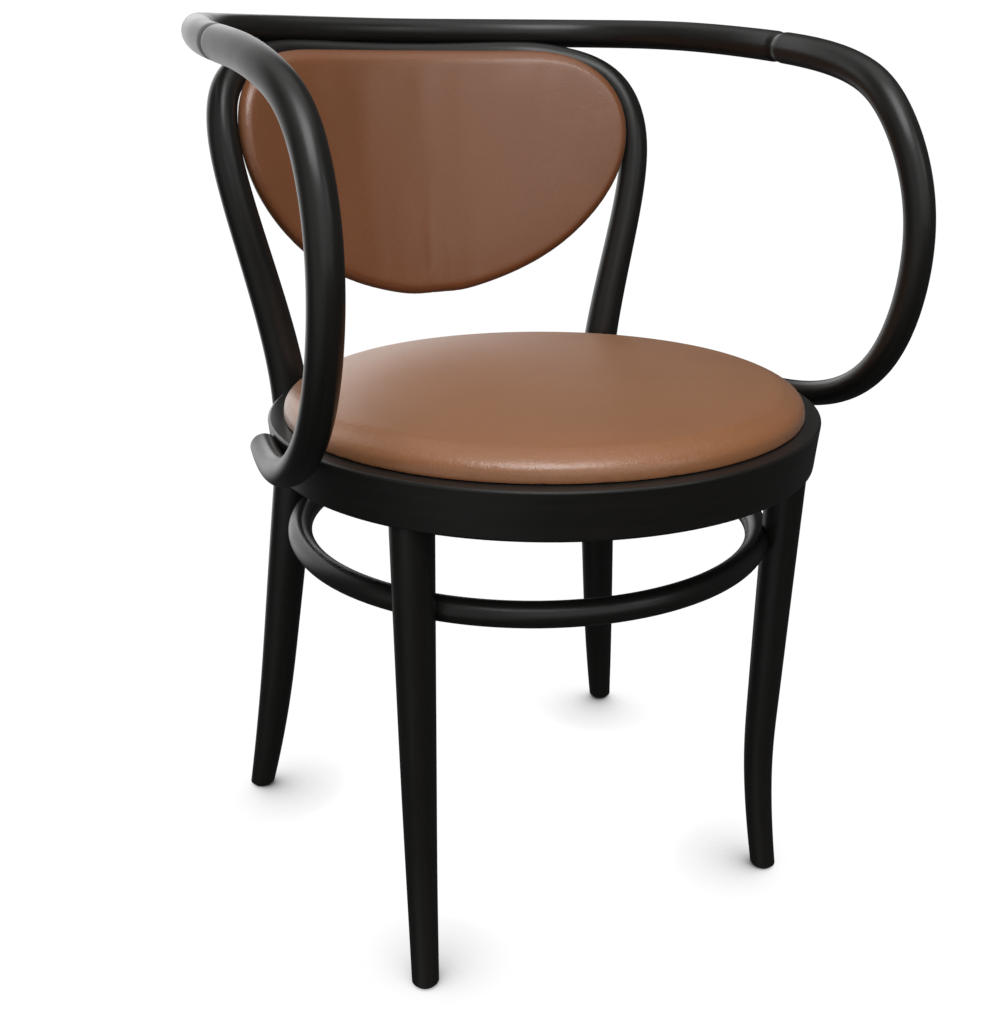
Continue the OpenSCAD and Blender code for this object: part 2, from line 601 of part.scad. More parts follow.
// A closed cubic spline through one loop of control points
function closed_at(p, i, t) = let (n = len(p), a = p[i % n], b = p[(i + 1) % n], c = p[(i + 2) % n], d = p[(i + 3) % n])
    (pow(1 - t, 3) * a + (3 * pow(t, 3) - 6 * t * t + 4) * b
        + (3 * t * (1 + t - t * t) + 1) * c + pow(t, 3) * d) / 6;
outline_steps = 3;
back_outline = let (p = outline_control())
    [for (i = [0 : len(p) - 1], k = [0 : outline_steps - 1]) closed_at(p, i, k / outline_steps)];
function outline_normal(i) = let (n = len(back_outline), step = back_outline[(i + 1) % n] - back_outline[(i + n - 1) % n])
    unit([-step.y, step.x]);
back_centre = [0, back_top_z - back_h / 2];
// One loop of the back pad: the outline set in by a distance, drawn towards the middle, at a depth behind it
function back_loop(inset, share, depth) = [for (i = [0 : len(back_outline) - 1]) let (
        edge = back_outline[i] - inset * outline_normal(i),
        q = back_centre + share * (edge - back_centre)
    ) [q.x, back_y(q.x, q.y) + depth, q.y]];
inner_shares = [0.06, 0.40, 0.75];

// Depths of the layers, from the front of the leather to the back of the liner
back_front = -back_t / 2;
foam_front = back_front + leather_t + layer_gap;
foam_back = foam_front + back_foam_t;
board_front = foam_back + layer_gap;
board_back = board_front + back_board_t;
liner_front = board_back + layer_gap;
liner_back = liner_front + leather_t - layer_gap;
board_inset = 3; // of the board's edge inside the pad's edge
liner_inset = 1; // of the liner's edge inside the pad's edge

// Rolled front edge: quarter of a round, from the side to the face, inside the outline by an inset
function roll_loops(inset) = [for (i = [0 : roll_steps]) let (
        a = 90 * i / roll_steps, r = back_roll - inset, face = back_front + inset
    ) back_loop(inset + r * (1 - cos(a)), 1, face + r * (1 - sin(a)))];
function flat_loops(depth) = [for (s = inner_shares) back_loop(back_roll, s, depth)];
// A flat side of a layer: from its middle out to its edge, which lies inside the outline by an inset
function side_loops(inset, depth) = concat(flat_loops(depth), [back_loop(back_roll, 1, depth), back_loop(inset, 1, depth)]);

module back_board() placed() color(plain_ply) difference() {
    skin(concat(side_loops(board_inset, board_back), reversed(side_loops(board_inset, board_front))));
    back_screw_place() screw_hole(back_screw_l);
    back_pin(fit_gap);
}
module back_foam() placed() color(pale_foam) skin(concat(
    side_loops(board_inset, foam_back),
    roll_loops(leather_t + layer_gap),
    reversed(flat_loops(foam_front))
));
module back_cover() placed() color(tan_leather) difference() {
    skin(concat(
        flat_loops(back_front + leather_t),
        reversed(roll_loops(leather_t)),
        [back_loop(leather_t, 1, board_back)],
        [back_loop(0, 1, board_back)],
        roll_loops(0),
        reversed(flat_loops(back_front))
    ));
    back_pin(fit_gap);
}
module back_liner() placed() color(tan_leather) difference() {
    skin(concat(side_loops(liner_inset, liner_back), reversed(side_loops(liner_inset, liner_front))));
    back_screw_place() screw_hole(back_screw_l);
}

// Screws run forward through the hoop's top into the board
back_screw_z = back_top_z - screw_head_r * 2;
back_screw_y = back_y(back_screw_x, back_screw_z) + back_t / 2 + let_gap + hoop_top_r * 1.5;
back_screw_l = hoop_top_r * 1.5 + back_board_t;
module back_screw_place() mirrored_pair() aimed([back_screw_x, back_screw_y, back_screw_z], [0, -1, 0]) children();

// Hidden pins between the hoop's sides and the board's edges, turned with the board's bow
pin_r = 1.5;
pin_in_hoop = 10;
pin_in_board = 6;
pin_turn_share = 0.6; // of the board's own turn at its edge
pin_l = pin_in_hoop + back_side_gap + board_inset + pin_in_board;
pin_angle = pin_turn_share * atan(2 * back_bow / back_w);
pin_dir = [-cos(pin_angle), sin(pin_angle), 0];
pin_at_edge = [back_w - board_inset,
    back_y(back_w - board_inset, hoop_wide.z) + (board_front + board_back) / 2, hoop_wide.z];
module back_pin(grown) mirrored_pair() aimed(pin_at_edge - pin_dir * (pin_l - pin_in_board), pin_dir)
    translate([0, 0, -grown]) cylinder(h = pin_l + 2 * grown, r = pin_r + grown, $fn = small_fn);

module back_hoop() placed() color(black_beech) difference() {
    skin(concat(
        [levelled(ring_points(hoop, 0, hoop_side_dir), heading(hoop, 0), glide_t)],
        [for (i = [1 : hoop_steps - 1]) ring_points(hoop, spans(hoop) * i / hoop_steps, hoop_side_dir)],
        [levelled(ring_points(hoop, spans(hoop), hoop_side_dir), heading(hoop, spans(hoop)), glide_t)]
    ));
    seat_ring_outside(let_gap);
    back_screw_place() screw_hole(back_screw_l);
    back_pin(fit_gap);
    mirrored_pair() {
        glide_hole(rear_foot);
        rail_screw_place() screw_hole(rail_screw_l);
        leg_ring_stretch(rear_hold_angle);
        leg_ring_spoke(rear_hold_angle) screw_hole(leg_ring_screw_l);
        on_spoke(rear_leg_angle, bolt_z) rotate([0, 0, 90]) // its seam faces sideways
            cylinder(h = bolt_end + fit_gap, r = sleeve_r + fit_gap);
    }
}

module rear_leg_bolts() placed() color(bright_steel) mirrored_pair() on_spoke(rear_leg_angle, bolt_z) {
    translate([0, 0, bolt_start - washer_t - bolt_head_h]) cylinder(h = bolt_head_h, r = bolt_head_r, $fn = 6);
    translate([0, 0, bolt_start - washer_t]) cylinder(h = bolt_end - fit_gap - bolt_start + washer_t, r = bolt_r);
}
module rear_leg_washers() placed() color(bright_steel) mirrored_pair() on_spoke(rear_leg_angle, bolt_z)
    translate([0, 0, bolt_start - washer_t]) difference() {
        cylinder(h = washer_t, r = washer_r);
        translate([0, 0, -overrun]) cylinder(h = washer_t + 2 * overrun, r = bolt_r + fit_gap);
    }
module rear_leg_sleeves() placed() color(brass_yellow) mirrored_pair() on_spoke(rear_leg_angle, bolt_z)
    translate([0, 0, bolt_end - sleeve_l]) difference() {
        cylinder(h = sleeve_l, r = sleeve_r);
        translate([0, 0, -overrun]) cylinder(h = sleeve_l + 2 * overrun, r = bolt_r + fit_gap);
    }

// Front leg nodes
module front_leg() color(black_beech) difference() {
    union() {
        skin(concat(
            [levelled(ring_points(front_leg, 0, hoop_side_dir), heading(front_leg, 0), glide_t)],
            [for (i = [1 : front_leg_steps - 1])
                ring_points(front_leg, spans(front_leg) * i / front_leg_steps, hoop_side_dir)],
            [levelled(ring_points(front_leg, spans(front_leg), hoop_side_dir),
                heading(front_leg, spans(front_leg)), seat_ring_bottom)]
        ));
        translate([front_leg_top.x, front_leg_top.y, seat_ring_bottom - tenon_r])
            cylinder(h = tenon_l + tenon_r, r = tenon_r);
    }
    leg_ring_stretch(front_hold_angle);
    glide_hole(front_foot);
    leg_ring_spoke(front_hold_angle) screw_hole(leg_ring_screw_l);
    on_spoke(-front_leg_angle, front_screw_z) translate([0, 0, seat_ring_inner_r]) screw_hole(front_screw_l);
}
module front_leg_right() placed() front_leg();
module front_leg_left() placed() mirror([1, 0, 0]) front_leg();
module front_leg_screws() placed() color(bright_steel) mirrored_pair()
    on_spoke(-front_leg_angle, front_screw_z) translate([0, 0, seat_ring_inner_r]) wood_screw(front_screw_l);

module leg_ring() placed() color(black_beech) difference() {
    leg_ring_body();
    mirrored_pair() {
        leg_ring_spoke(front_hold_angle) screw_hole(leg_ring_screw_l);
        leg_ring_spoke(rear_hold_angle) screw_hole(leg_ring_screw_l);
    }
}
module leg_ring_screws() placed() color(bright_steel) mirrored_pair() {
    leg_ring_spoke(front_hold_angle) wood_screw(leg_ring_screw_l);
    leg_ring_spoke(rear_hold_angle) wood_screw(leg_ring_screw_l);
}

module back_board_screws() placed() color(bright_steel) back_screw_place() wood_screw(back_screw_l);
module back_board_pins() placed() color(bright_steel) back_pin(0);

seat_ring();
seat_board();
seat_foam();
seat_cover();
seat_dust_cover();
seat_board_screws();
back_rail();
arm_left();
arm_right();
arm_dowels();
arm_end_screws();
rail_screws();
back_hoop();
rear_leg_bolts();
rear_leg_washers();
rear_leg_sleeves();
front_leg_left();
front_leg_right();
front_leg_screws();
leg_ring();
leg_ring_screws();
foot_glides();
back_board();
back_foam();
back_cover();
back_liner();
back_board_screws();
back_board_pins();
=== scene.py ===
"""Looks of a black bentwood armchair with a leather seat pad and a leather back pad."""

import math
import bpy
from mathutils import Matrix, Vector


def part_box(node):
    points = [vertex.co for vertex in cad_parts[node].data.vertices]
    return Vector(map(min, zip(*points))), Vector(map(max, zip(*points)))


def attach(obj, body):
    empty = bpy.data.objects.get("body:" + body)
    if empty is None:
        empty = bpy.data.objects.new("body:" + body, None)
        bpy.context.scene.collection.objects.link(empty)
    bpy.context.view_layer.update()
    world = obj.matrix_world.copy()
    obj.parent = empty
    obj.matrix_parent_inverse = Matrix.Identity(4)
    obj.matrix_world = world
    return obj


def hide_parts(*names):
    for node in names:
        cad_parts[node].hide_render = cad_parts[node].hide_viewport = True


bl_info = {
    "name": "Bentwood armchair looks",
    "version": (1, 0, 0),
    "blender": (4, 5, 0),
    "location": "View3D > Sidebar > Armchair",
    "description": "Makes the bent rods, the leather pads, the fastenings and the stage of a bentwood armchair",
    "category": "Object",
}

import bmesh
import bpy
import numpy as np
from mathutils import Matrix, Vector, noise

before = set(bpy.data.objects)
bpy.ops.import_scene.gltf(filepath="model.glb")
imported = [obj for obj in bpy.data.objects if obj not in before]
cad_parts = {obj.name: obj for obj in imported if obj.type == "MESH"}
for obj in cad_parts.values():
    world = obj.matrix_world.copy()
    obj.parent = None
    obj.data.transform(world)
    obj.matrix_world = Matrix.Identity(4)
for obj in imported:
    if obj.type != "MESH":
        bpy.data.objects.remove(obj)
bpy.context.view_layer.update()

MM = 0.001
BODY = "root"


# Sizes, colours and lights that a user would change


def length(text, about, default):
    return bpy.props.FloatProperty(name=text, description=about, default=default * MM, unit="LENGTH", precision=5)


def angle(text, about, default):
    return bpy.props.FloatProperty(name=text, description=about, default=math.radians(default), subtype="ANGLE")


def colour(text, about, default):
    return bpy.props.FloatVectorProperty(
        name=text, description=about, default=default, subtype="COLOR", size=3, min=0, max=1
    )


def number(text, about, default):
    return bpy.props.FloatProperty(name=text, description=about, default=default)


def share(text, about, default):
    return bpy.props.FloatProperty(name=text, description=about, default=default, subtype="FACTOR", min=0, max=1)


def watts(text, about, default):
    return bpy.props.FloatProperty(name=text, description=about, default=default, unit="POWER", min=0)


class ArmchairRods(bpy.types.PropertyGroup):
    """Sizes of the bent rods and of the seat ring that they stand on"""

    seat_ring_r: length("Seat ring radius", "Outer radius of the seat ring at its top edge", 229)
    seat_ring_h: length("Seat ring height", "Height of the seat ring's wood", 38)
    seat_ring_top: length("Seat ring top", "Height of the seat ring's top face above the floor", 441)
    seat_ring_taper: length("Seat ring taper", "How much smaller the ring is at its bottom edge", 3)
    rail_z: length("Rail height", "Height of the top rail's middle line", 741)
    rail_y: length("Rail depth", "Distance of the top rail behind the middle of the seat ring", 298)
    arm_x: length("Arm half width", "Half the width between the arms' middle lines", 250)
    arm_y: length("Arm reach", "Reach of the arms ahead of the middle of the seat ring", 176)
    arm_low_z: length("Arm lower bend", "Height of the arms' lower bend", 424)
    arm_end_y: length("Arm end", "Distance of the arms' ends behind the middle of the seat ring", 26)
    arm_end_rise: length("Arm end rise", "How far the arms' ends are above their lowest place", 5)
    bow_rod_r: length("Bow rod radius", "Radius of the rod of the arms and the rail", 12.7)
    rear_leg_angle: angle("Rear leg direction", "Direction of the rear legs from the side", 47.8)
    rear_splay: length("Rear splay", "How far the rear feet stand outside the seat ring", 63)
    rear_leg_r: length("Rear leg radius", "Radius of the rear legs where they are thickest", 18.8)
    rear_leg_ring_r: length("Rear leg radius at the ring", "Radius of the rear legs at the seat ring", 16.9)
    hoop_x: length("Hoop half width", "Half the width of the hoop's shoulders", 211)
    hoop_side_y: length("Hoop depth", "Distance of the hoop's sides behind the middle of the ring", 181)
    hoop_top_r: length("Hoop rod radius", "Radius of the hoop's rod at its top", 12)
    rail_rest_angle: angle("Rail rest slope", "Slope from the hoop's top up to the rail", 53)
    front_leg_pitch: length("Front leg pitch", "Distance of the front legs' tops from the middle", 207)
    front_leg_angle: angle("Front leg direction", "Direction of the front legs from the side", 34.5)
    front_leg_r: length("Front leg radius", "Radius of the front legs at the top", 16.8)
    front_kick: length("Front kick", "How far the front feet kick forward", 7.5)
    leg_ring_z: length("Leg ring height", "Height of the leg ring's middle line", 328)
    leg_ring_y: length("Leg ring depth", "Distance of the leg ring's middle behind the seat ring's", 24)
    leg_ring_rod_r: length("Leg ring rod radius", "Radius of the leg ring's rod", 10.3)
    front_housing: length("Front housing", "Depth that the leg ring is let into a front leg", 7)
    rear_housing: length("Rear housing", "Depth that the leg ring is let into a rear leg", 2)
    glide_t: length("Glide height", "Height of the glides under the feet", 2.5)
    foot_softness: length("Foot softness", "Rounding of the feet's lower rim", 1)
    sides: bpy.props.IntProperty(name="Rod sides", description="Faces round a rod", default=48, min=12, max=96)


class ArmchairPads(bpy.types.PropertyGroup):
    """Sizes of the leather pads"""

    seat_pad_r: length("Seat pad radius", "Outer radius of the seat pad", 216)
    seat_pad_h: length("Seat pad height", "Height of the pad's crease above the seat ring", 21.5)
    seat_crown: length("Seat crown", "Extra height of the seat pad at its middle", 1.5)
    seat_roll: length("Seat roll", "Width of the seat pad's rolled edge", 21)
    back_side_gap: length("Back gap", "Room between the back pad and the hoop", 1.1)
    back_rise: length("Back rise", "Height of the pad's top above the middle line of the hoop's top", 4)
    back_h: length("Back height", "Height of the back pad", 219)
    back_lean: length("Back lean", "How far the pad's bottom leans forward of its top", 45)
    back_bow: length("Back bow", "Depth of the pad's bow from side to side", 59)
    back_board_t: length("Back board", "Thickness of the board in the back pad", 8)
    back_foam_t: length("Back foam", "Thickness of the foam on the back board", 11)
    back_roll: length("Back roll", "Radius of the back pad's rolled edge", 13)
    back_puff: length("Back puff", "How far the stuffed side of the back pad stands out past its board", 1.5)
    leather_t: length("Leather thickness", "Thickness of the leather", 1.2)
    swell_cap: length("Swell limit", "The furthest that the leather may move as it is stuffed", 2.5)
    pressure: number("Stuffing", "Pressure of the stuffing in the pads", 4.0)
    pucker: length("Puckers", "Depth of the small folds in the rolled edges", 0.35)
    stitch_pitch: length("Stitch pitch", "Distance from stitch to stitch round the back's panel", 4.2)
    staple_pitch: length("Staple pitch", "Distance from staple to staple round the dust cover", 27)


class ArmchairFinish(bpy.types.PropertyGroup):
    """Colours of the finishes"""

    stain: colour("Black stain", "Colour of the stained beech", (0.0105, 0.0098, 0.0090))
    stain_worn: colour("Stain in the grain", "Colour of the paler fibres", (0.018, 0.0168, 0.0155))
    wood_roughness: share("Wood roughness", "Roughness of the satin lacquer", 0.27)
    # Painted light and shade: the seat and the back are one leather, but the seat's colour is painted lighter for the
    # light on its top, and the back's is painted darker for the weaker light on its upright face
    seat_leather_painted_lighter: colour("Seat leather", "Colour of the seat's leather", (0.350, 0.149, 0.063))
    back_leather_painted_darker: colour("Back leather", "Colour of the back's leather", (0.240, 0.087, 0.031))
    sheen: share("Leather sheen", "Soft gloss of the leather seen at a slant", 0.12)
    leather_dark: share("Leather creases", "How dark the grain's creases are", 0.80)
    seat_roughness: share("Seat roughness", "Roughness of the seat's leather", 0.34)
    back_roughness: share("Back roughness", "Roughness of the back's leather", 0.36)
    thread: colour("Thread", "Colour of the sewing thread", (0.110, 0.050, 0.026))


class ArmchairStage(bpy.types.PropertyGroup):
    """Floor, lights and camera"""

    floor: colour("Floor", "Colour of the floor and the backdrop", (1.0, 1.0, 1.0))
    # The shade at the feet is painted into the floor's glow
    contact_reach: length("Contact reach", "How far the feet shade the floor", 75)
    contact_depth: number("Contact depth", "Strength of the shade at the feet", 1.2)
    room: number("Room", "Strength of the studio's soft light", 1.0)
    key: watts("Key light", "Power of the large lamp above the front", 26)
    side: watts("Side light", "Power of the narrow lamp at the front on the right", 2.2)
    camera_azimuth: angle("Camera azimuth", "Direction of the camera, from the front", -26.77)
    camera_elevation: angle("Camera elevation", "Height of the camera above the horizon", 20.17)
    camera_roll: angle("Camera roll", "Turn of the picture", -0.18)
    camera_distance: length("Camera distance", "Distance from the camera to its target", 1064.6)
    lens: bpy.props.FloatProperty(name="Lens", description="Focal length", default=42.244, unit="CAMERA")


def rods():
    return bpy.context.scene.armchair_rods


def pads():
    return bpy.context.scene.armchair_pads


def finish():
    return bpy.context.scene.armchair_finish


# Curves: control points [x, y, z, radius] of a cubic spline that starts and ends on them


def knot(i, count):
    return min(max(i - 3, 0), count - 3)


def curve_at(control, u):
    count = len(control)
    span = min(int(u), count - 4)
    near = [np.array(control[span + i], float) for i in range(4)]
    for r in range(1, 4):
        for i in range(3, r - 1, -1):
            low, high = knot(span + i, count), knot(span + i + 4 - r, count)
            part = (u - low) / (high - low)
            near[i] = (1 - part) * near[i - 1] + part * near[i]
    return near[3]


def spans(control):
    return len(control) - 3


def samples(control, start, end, steps):
    return np.array([curve_at(control, u) for u in np.linspace(start, end, steps + 1)])


def through(q, before, after):
    """The control point that makes the curve pass through q, between two other control points."""
    return (6 * np.array(q) - before - after) / 4


def both_halves(half):
    return [np.array(p, float) for p in half] + [np.array([-p[0], *p[1:]]) for p in reversed(half)]


def spoke(reach, turn, z, r):
    return np.array([reach * math.cos(turn), reach * math.sin(turn), z, r])


def at_height(path, z):
    """The place at height z on a path that rises from its start."""
    i = next(i for i in range(1, len(path)) if path[i][2] >= z)
    part = (z - path[i - 1][2]) / (path[i][2] - path[i - 1][2])
    return (1 - part) * path[i - 1] + part * path[i]


# The bow: shares of arm_x, of arm_y (ahead) or rail_y (behind), of the rise to the rail, and of bow_rod_r
ARM_SHARES = [
    (0.955, 0.010, 0.010, 0.86),
    (1.002, -0.360, 0.008, 0.845),
    (0.984, -0.843, 0.160, 0.97),
    (0.964, -1.000, 0.550, 0.94),
    (0.948, -0.733, 0.818, 0.98),
    (0.976, -0.443, 0.893, 0.98),
    (0.980, -0.119, 0.931, 1.01),
]
RAIL_SHARES = [
    (1.000, 0.181, 0.956, 1.00),
    (0.924, 0.513, 0.987, 1.00),
    (0.788, 0.826, 0.997, 1.02),
    (0.448, 0.963, 1.000, 1.02),
    (0.108, 1.000, 1.000, 0.98),
]
ARM_END_R_SHARE, ARM_JOINT_SHARE = 0.85, 0.574
WAIST_SHARE, WAIST_SPAN = 0.91, 0.08
# Rear legs: shares of rear_splay, of seat_ring_top and of rear_leg_r, from the floor up
REAR_LEG_SHARES = [(1.000, 0.00, 0.635), (0.675, 0.19, 0.835), (0.420, 0.42, 0.890), (0.108, 0.70, 1.000)]
# The hoop's side: shares of hoop_x, of hoop_side_y, of the rise from the seat ring to the rail, and of hoop_top_r
HOOP_SIDE_SHARES = [(0.884, 0.985, 0.349, 1.20), (1.000, 1.017, 0.684, 1.11), (0.933, 1.196, 0.876, 1.03)]
HOOP_MID_X_SHARE, HOOP_SHOULDER_SHARE, HOOP_DIP = 0.144, 0.65, 2.2 * MM
# Front legs: shares of front_kick sideways and forward, of the leg's height, and of front_leg_r
FRONT_LEG_SHARES = [
    (0.40, -1.00, 0.000, 0.67),
    (-0.30, 0.95, 0.215, 0.75),
    (-0.20, 0.70, 0.400, 0.83),
    (-0.13, 0.50, 0.650, 0.905),
    (0.00, 0.00, 1.000, 1.00),
]
# Gaps between pieces that bear on each other and between layers, and how deep the arms' ends are scribed to the ring
LET_GAP, LAYER_GAP, ARM_END_SCRIBE = 0.3 * MM, 0.2 * MM, 2.2 * MM
# Degrees by which the rear feet stand nearer to the side than the rear legs at the ring
FOOT_TURN = -0.3
# The pads' leather starts inside its shape by its slack, and by a part of it at its rim. It swells over these frames.
# Its face and the first loops of its roll are free. The turned-in leather and the pads' hollow have hidden steps.
SLACK, RIM_SLACK_PART, STUFFING_FRAMES, FREE_LOOPS = 1.8 * MM, 6, 20, 8
SEAT_HEM, SEAT_STEP, SEAT_LIFT, BACK_STEPS = 12 * MM, 2 * MM, 4 * MM, (4 * MM, 6 * MM)
# The back panel's seam: how far in from the pad's edge, and the thread's radius
SEAM_INSET, THREAD_R = 5 * MM, 0.38 * MM
# Screws: what counts as one place, how far a head's sink reaches out and past the head, thread pitch, and as shares of
# the head's radius the core, the shank, and the recess's half length inside and outside, its width and its depth
NEAR, SINK_REACH, SINK_PAST, THREAD_PITCH = 0.1 * MM, 14 * MM, 0.05 * MM, 2.2 * MM
CORE_SHARE, SHANK_SHARE, RECESS_SHARES = 0.36, 0.5, (0.55, 1.1, 0.26, 0.9)
# Dust cover: thickness, sag, depth of its gathers, its drop under the board, and its edge's distance to the staples
CLOTH_T, CLOTH_SAG, CLOTH_GATHER, CLOTH_DROP, STAPLE_INSET = 0.35 * MM, 0.25 * MM, 0.35 * MM, 0.1 * MM, 7 * MM


class Lines:
    """The middle lines of all the rods, worked out once from the sizes, and measured from the seat ring's middle."""

    def __init__(self, s):
        self.mid_ring_r = s.seat_ring_r - s.seat_ring_taper / 2
        end_r = ARM_END_R_SHARE * s.bow_rod_r
        reach = self.mid_ring_r + end_r - ARM_END_SCRIBE
        rise = s.rail_z - s.arm_low_z
        half = [(math.sqrt(reach**2 - s.arm_end_y**2), s.arm_end_y, s.arm_low_z + s.arm_end_rise, end_r)]
        half += [(a * s.arm_x, b * s.arm_y, s.arm_low_z + c * rise, d * s.bow_rod_r) for a, b, c, d in ARM_SHARES]
        half += [(a * s.arm_x, b * s.rail_y, s.arm_low_z + c * rise, d * s.bow_rod_r) for a, b, c, d in RAIL_SHARES]
        self.bow = both_halves(half)
        self.arm_joint = ARM_JOINT_SHARE * spans(self.bow) / 2
        middle = curve_at(self.bow, spans(self.bow) / 2)
        self.shift = (s.seat_ring_r - middle[1] - middle[3]) / 2

        touch = curve_at(self.bow, spans(self.bow) / 2 - 1.5)
        rest = np.array([0, math.cos(s.rail_rest_angle), math.sin(s.rail_rest_angle)])
        rest_distance = touch[3] + s.hoop_top_r + 2 * LET_GAP
        reach = self.mid_ring_r + s.rear_leg_ring_r + LET_GAP
        foot_turn = s.rear_leg_angle + math.radians(FOOT_TURN)
        leg = [
            spoke(reach + a * s.rear_splay, foot_turn, s.glide_t + b * (s.seat_ring_top - s.glide_t), c * s.rear_leg_r)
            for a, b, c in REAR_LEG_SHARES
        ]
        hoop_rise = s.rail_z - s.seat_ring_top
        side = [
            np.array([a * s.hoop_x, b * s.hoop_side_y, s.seat_ring_top + c * hoop_rise, d * s.hoop_top_r])
            for a, b, c, d in HOOP_SIDE_SHARES
        ]
        at_ring = through(
            spoke(reach, s.rear_leg_angle, s.seat_ring_top - s.seat_ring_h / 2, s.rear_leg_ring_r), leg[3], side[0]
        )
        rail_end, rail_step = np.array(half[-1]), np.array(half[-3]) - np.array(half[-1])
        mid = np.array([
            HOOP_MID_X_SHARE * s.arm_x,
            rail_end[1] - rest_distance * rest[1] - HOOP_DIP / 2,
            rail_end[2] - rest_distance * rest[2] - HOOP_DIP,
            s.hoop_top_r,
        ])
        shoulder = np.append(mid[:3] + HOOP_SHOULDER_SHARE * rail_step[:3], s.hoop_top_r)
        touched = through(np.append(touch[:3] - rest_distance * rest, s.hoop_top_r), shoulder, mid)
        self.hoop = both_halves([*leg, at_ring, *side, shoulder, touched, mid])
        half_path = samples(self.hoop, 0, spans(self.hoop) / 2, 160)
        self.hoop_middle = curve_at(self.hoop, spans(self.hoop) / 2)
        upper = [q for q in half_path if q[2] > s.seat_ring_top]
        self.hoop_wide = max(upper, key=lambda q: q[0])

        top = spoke(s.front_leg_pitch, -s.front_leg_angle, s.seat_ring_top - s.seat_ring_h, s.front_leg_r)
        self.front_leg = [
            np.array([
                top[0] + a * s.front_kick,
                top[1] + b * s.front_kick,
                s.glide_t + c * (top[2] - s.glide_t),
                d * s.front_leg_r,
            ])
            for a, b, c, d in FRONT_LEG_SHARES
        ]

        # The leg ring is round in front and drawn out behind, to be let into the rear legs too
        front = at_height(samples(self.front_leg, 0, spans(self.front_leg), 120), s.leg_ring_z)
        rear = at_height([q for q in half_path if q[2] < s.seat_ring_top], s.leg_ring_z)
        r = math.hypot(front[0], front[1] - s.leg_ring_y) - front[3] - s.leg_ring_rod_r + s.front_housing
        stand = s.leg_ring_rod_r + rear[3] - s.rear_housing
        turn, depth = s.rear_leg_angle, r
        for _ in range(24):
            m = math.hypot(depth * math.cos(turn), r * math.sin(turn))
            turn = math.acos(min(1, rear[0] / (r + stand * depth / m)))
            depth = (rear[1] - s.leg_ring_y) / math.sin(turn) - stand * r / m
        turns = np.linspace(0, math.tau, 240, endpoint=False)
        self.leg_ring = np.array([
            [
                r * math.cos(t),
                s.leg_ring_y + (depth if math.sin(t) > 0 else r) * math.sin(t),
                s.leg_ring_z,
                s.leg_ring_rod_r,
            ]
            for t in turns
        ])

    def bow_stretch(self, start, end, steps):
        """A stretch of the bow, waisted at its joints."""
        line = samples(self.bow, start, end, steps)
        for row, u in zip(line, np.linspace(start, end, steps + 1)):
            beside = abs(min(u, spans(self.bow) - u) - self.arm_joint)
            row[3] *= 1 - (1 - WAIST_SHARE) * max(0, 1 - beside / WAIST_SPAN)
        return line


# Node trees


class Value:
    """A number in a node tree: the usual operators add its Math nodes."""

    def __init__(self, graph, socket):
        self.graph, self.socket = graph, socket

    def math(self, operation, *others, clamp=False):
        return self.graph.node(
            "ShaderNodeMath", {"operation": operation, "use_clamp": clamp}, dict(enumerate((self, *others)))
        )

    def __add__(self, other):
        return self.math("ADD", other)

    def __mul__(self, other):
        return self.math("MULTIPLY", other)

    __radd__, __rmul__ = __add__, __mul__

    def __sub__(self, other):
        return self.math("SUBTRACT", other)

    def __rsub__(self, other):
        return self.graph.node("ShaderNodeMath", {"operation": "SUBTRACT"}, {0: other, 1: self})

    def __pow__(self, other):
        return self.math("POWER", other)

    def __neg__(self):
        return self * -1

    def clamped(self):
        return self.math("ADD", 0, clamp=True)

    def ramp(self, low, high):
        """0 below low, 1 above high, and smooth between them."""
        inputs = {"Value": self, "From Min": low, "From Max": high}
        return self.graph.node("ShaderNodeMapRange", {"interpolation_type": "SMOOTHSTEP"}, inputs)


class Graph:
    """A node tree, filled by one method."""

    def __init__(self, tree):
        self.tree = tree

    def node(self, kind, settings=None, inputs=None, out=0):
        made = self.tree.nodes.new(kind)
        for name, value in (settings or {}).items():
            setattr(made, name, value)
        for name, value in (inputs or {}).items():
            if isinstance(value, Value):
                self.tree.links.new(value.socket, made.inputs[name])
            elif isinstance(value, tuple) and made.inputs[name].type == "RGBA" and len(value) == 3:
                made.inputs[name].default_value = (*value, 1)
            else:
                made.inputs[name].default_value = value
        return Value(self, made.outputs[out]) if made.outputs else made

    def vector(self, operation, *values):
        out = 1 if operation in ("LENGTH", "DOT_PRODUCT", "DISTANCE") else 0
        return self.node("ShaderNodeVectorMath", {"operation": operation}, dict(enumerate(values)), out)

    def apart(self, vector):
        """The three numbers of a vector."""
        first = self.node("ShaderNodeSeparateXYZ", None, {0: vector})
        return [Value(self, first.socket.node.outputs[i]) for i in range(3)]

    def together(self, x, y, z):
        return self.node("ShaderNodeCombineXYZ", None, {0: x, 1: y, 2: z})

    def place(self):
        """Place on the piece, in metres."""
        return self.node("ShaderNodeTexCoord", out=3)

    def noise(self, vector, scale, detail=2.0, roughness=0.5, distortion=0.0):
        return self.node(
            "ShaderNodeTexNoise",
            None,
            {"Vector": vector, "Scale": scale, "Detail": detail, "Roughness": roughness, "Distortion": distortion},
        )

    def blend(self, part, first, second):
        """One colour into another."""
        return self.node("ShaderNodeMix", {"data_type": "RGBA"}, {0: part, 6: first, 7: second}, out=2)

    def bump(self, height, distance, strength):
        return self.node("ShaderNodeBump", None, {"Height": height, "Distance": distance, "Strength": strength})


def surface(name, paint):
    """A material whose one shader gets the sockets that paint(graph) returns."""
    made = bpy.data.materials.new(name)
    made.use_nodes = True
    tree = made.node_tree
    tree.nodes.clear()
    graph = Graph(tree)
    inputs = paint(graph)
    made.diffuse_color = (*inputs.pop("shown", (0.3, 0.3, 0.3)), 1)
    shader = graph.node("ShaderNodeBsdfPrincipled", None, inputs)
    graph.node("ShaderNodeOutputMaterial", None, {"Surface": shader})
    return made


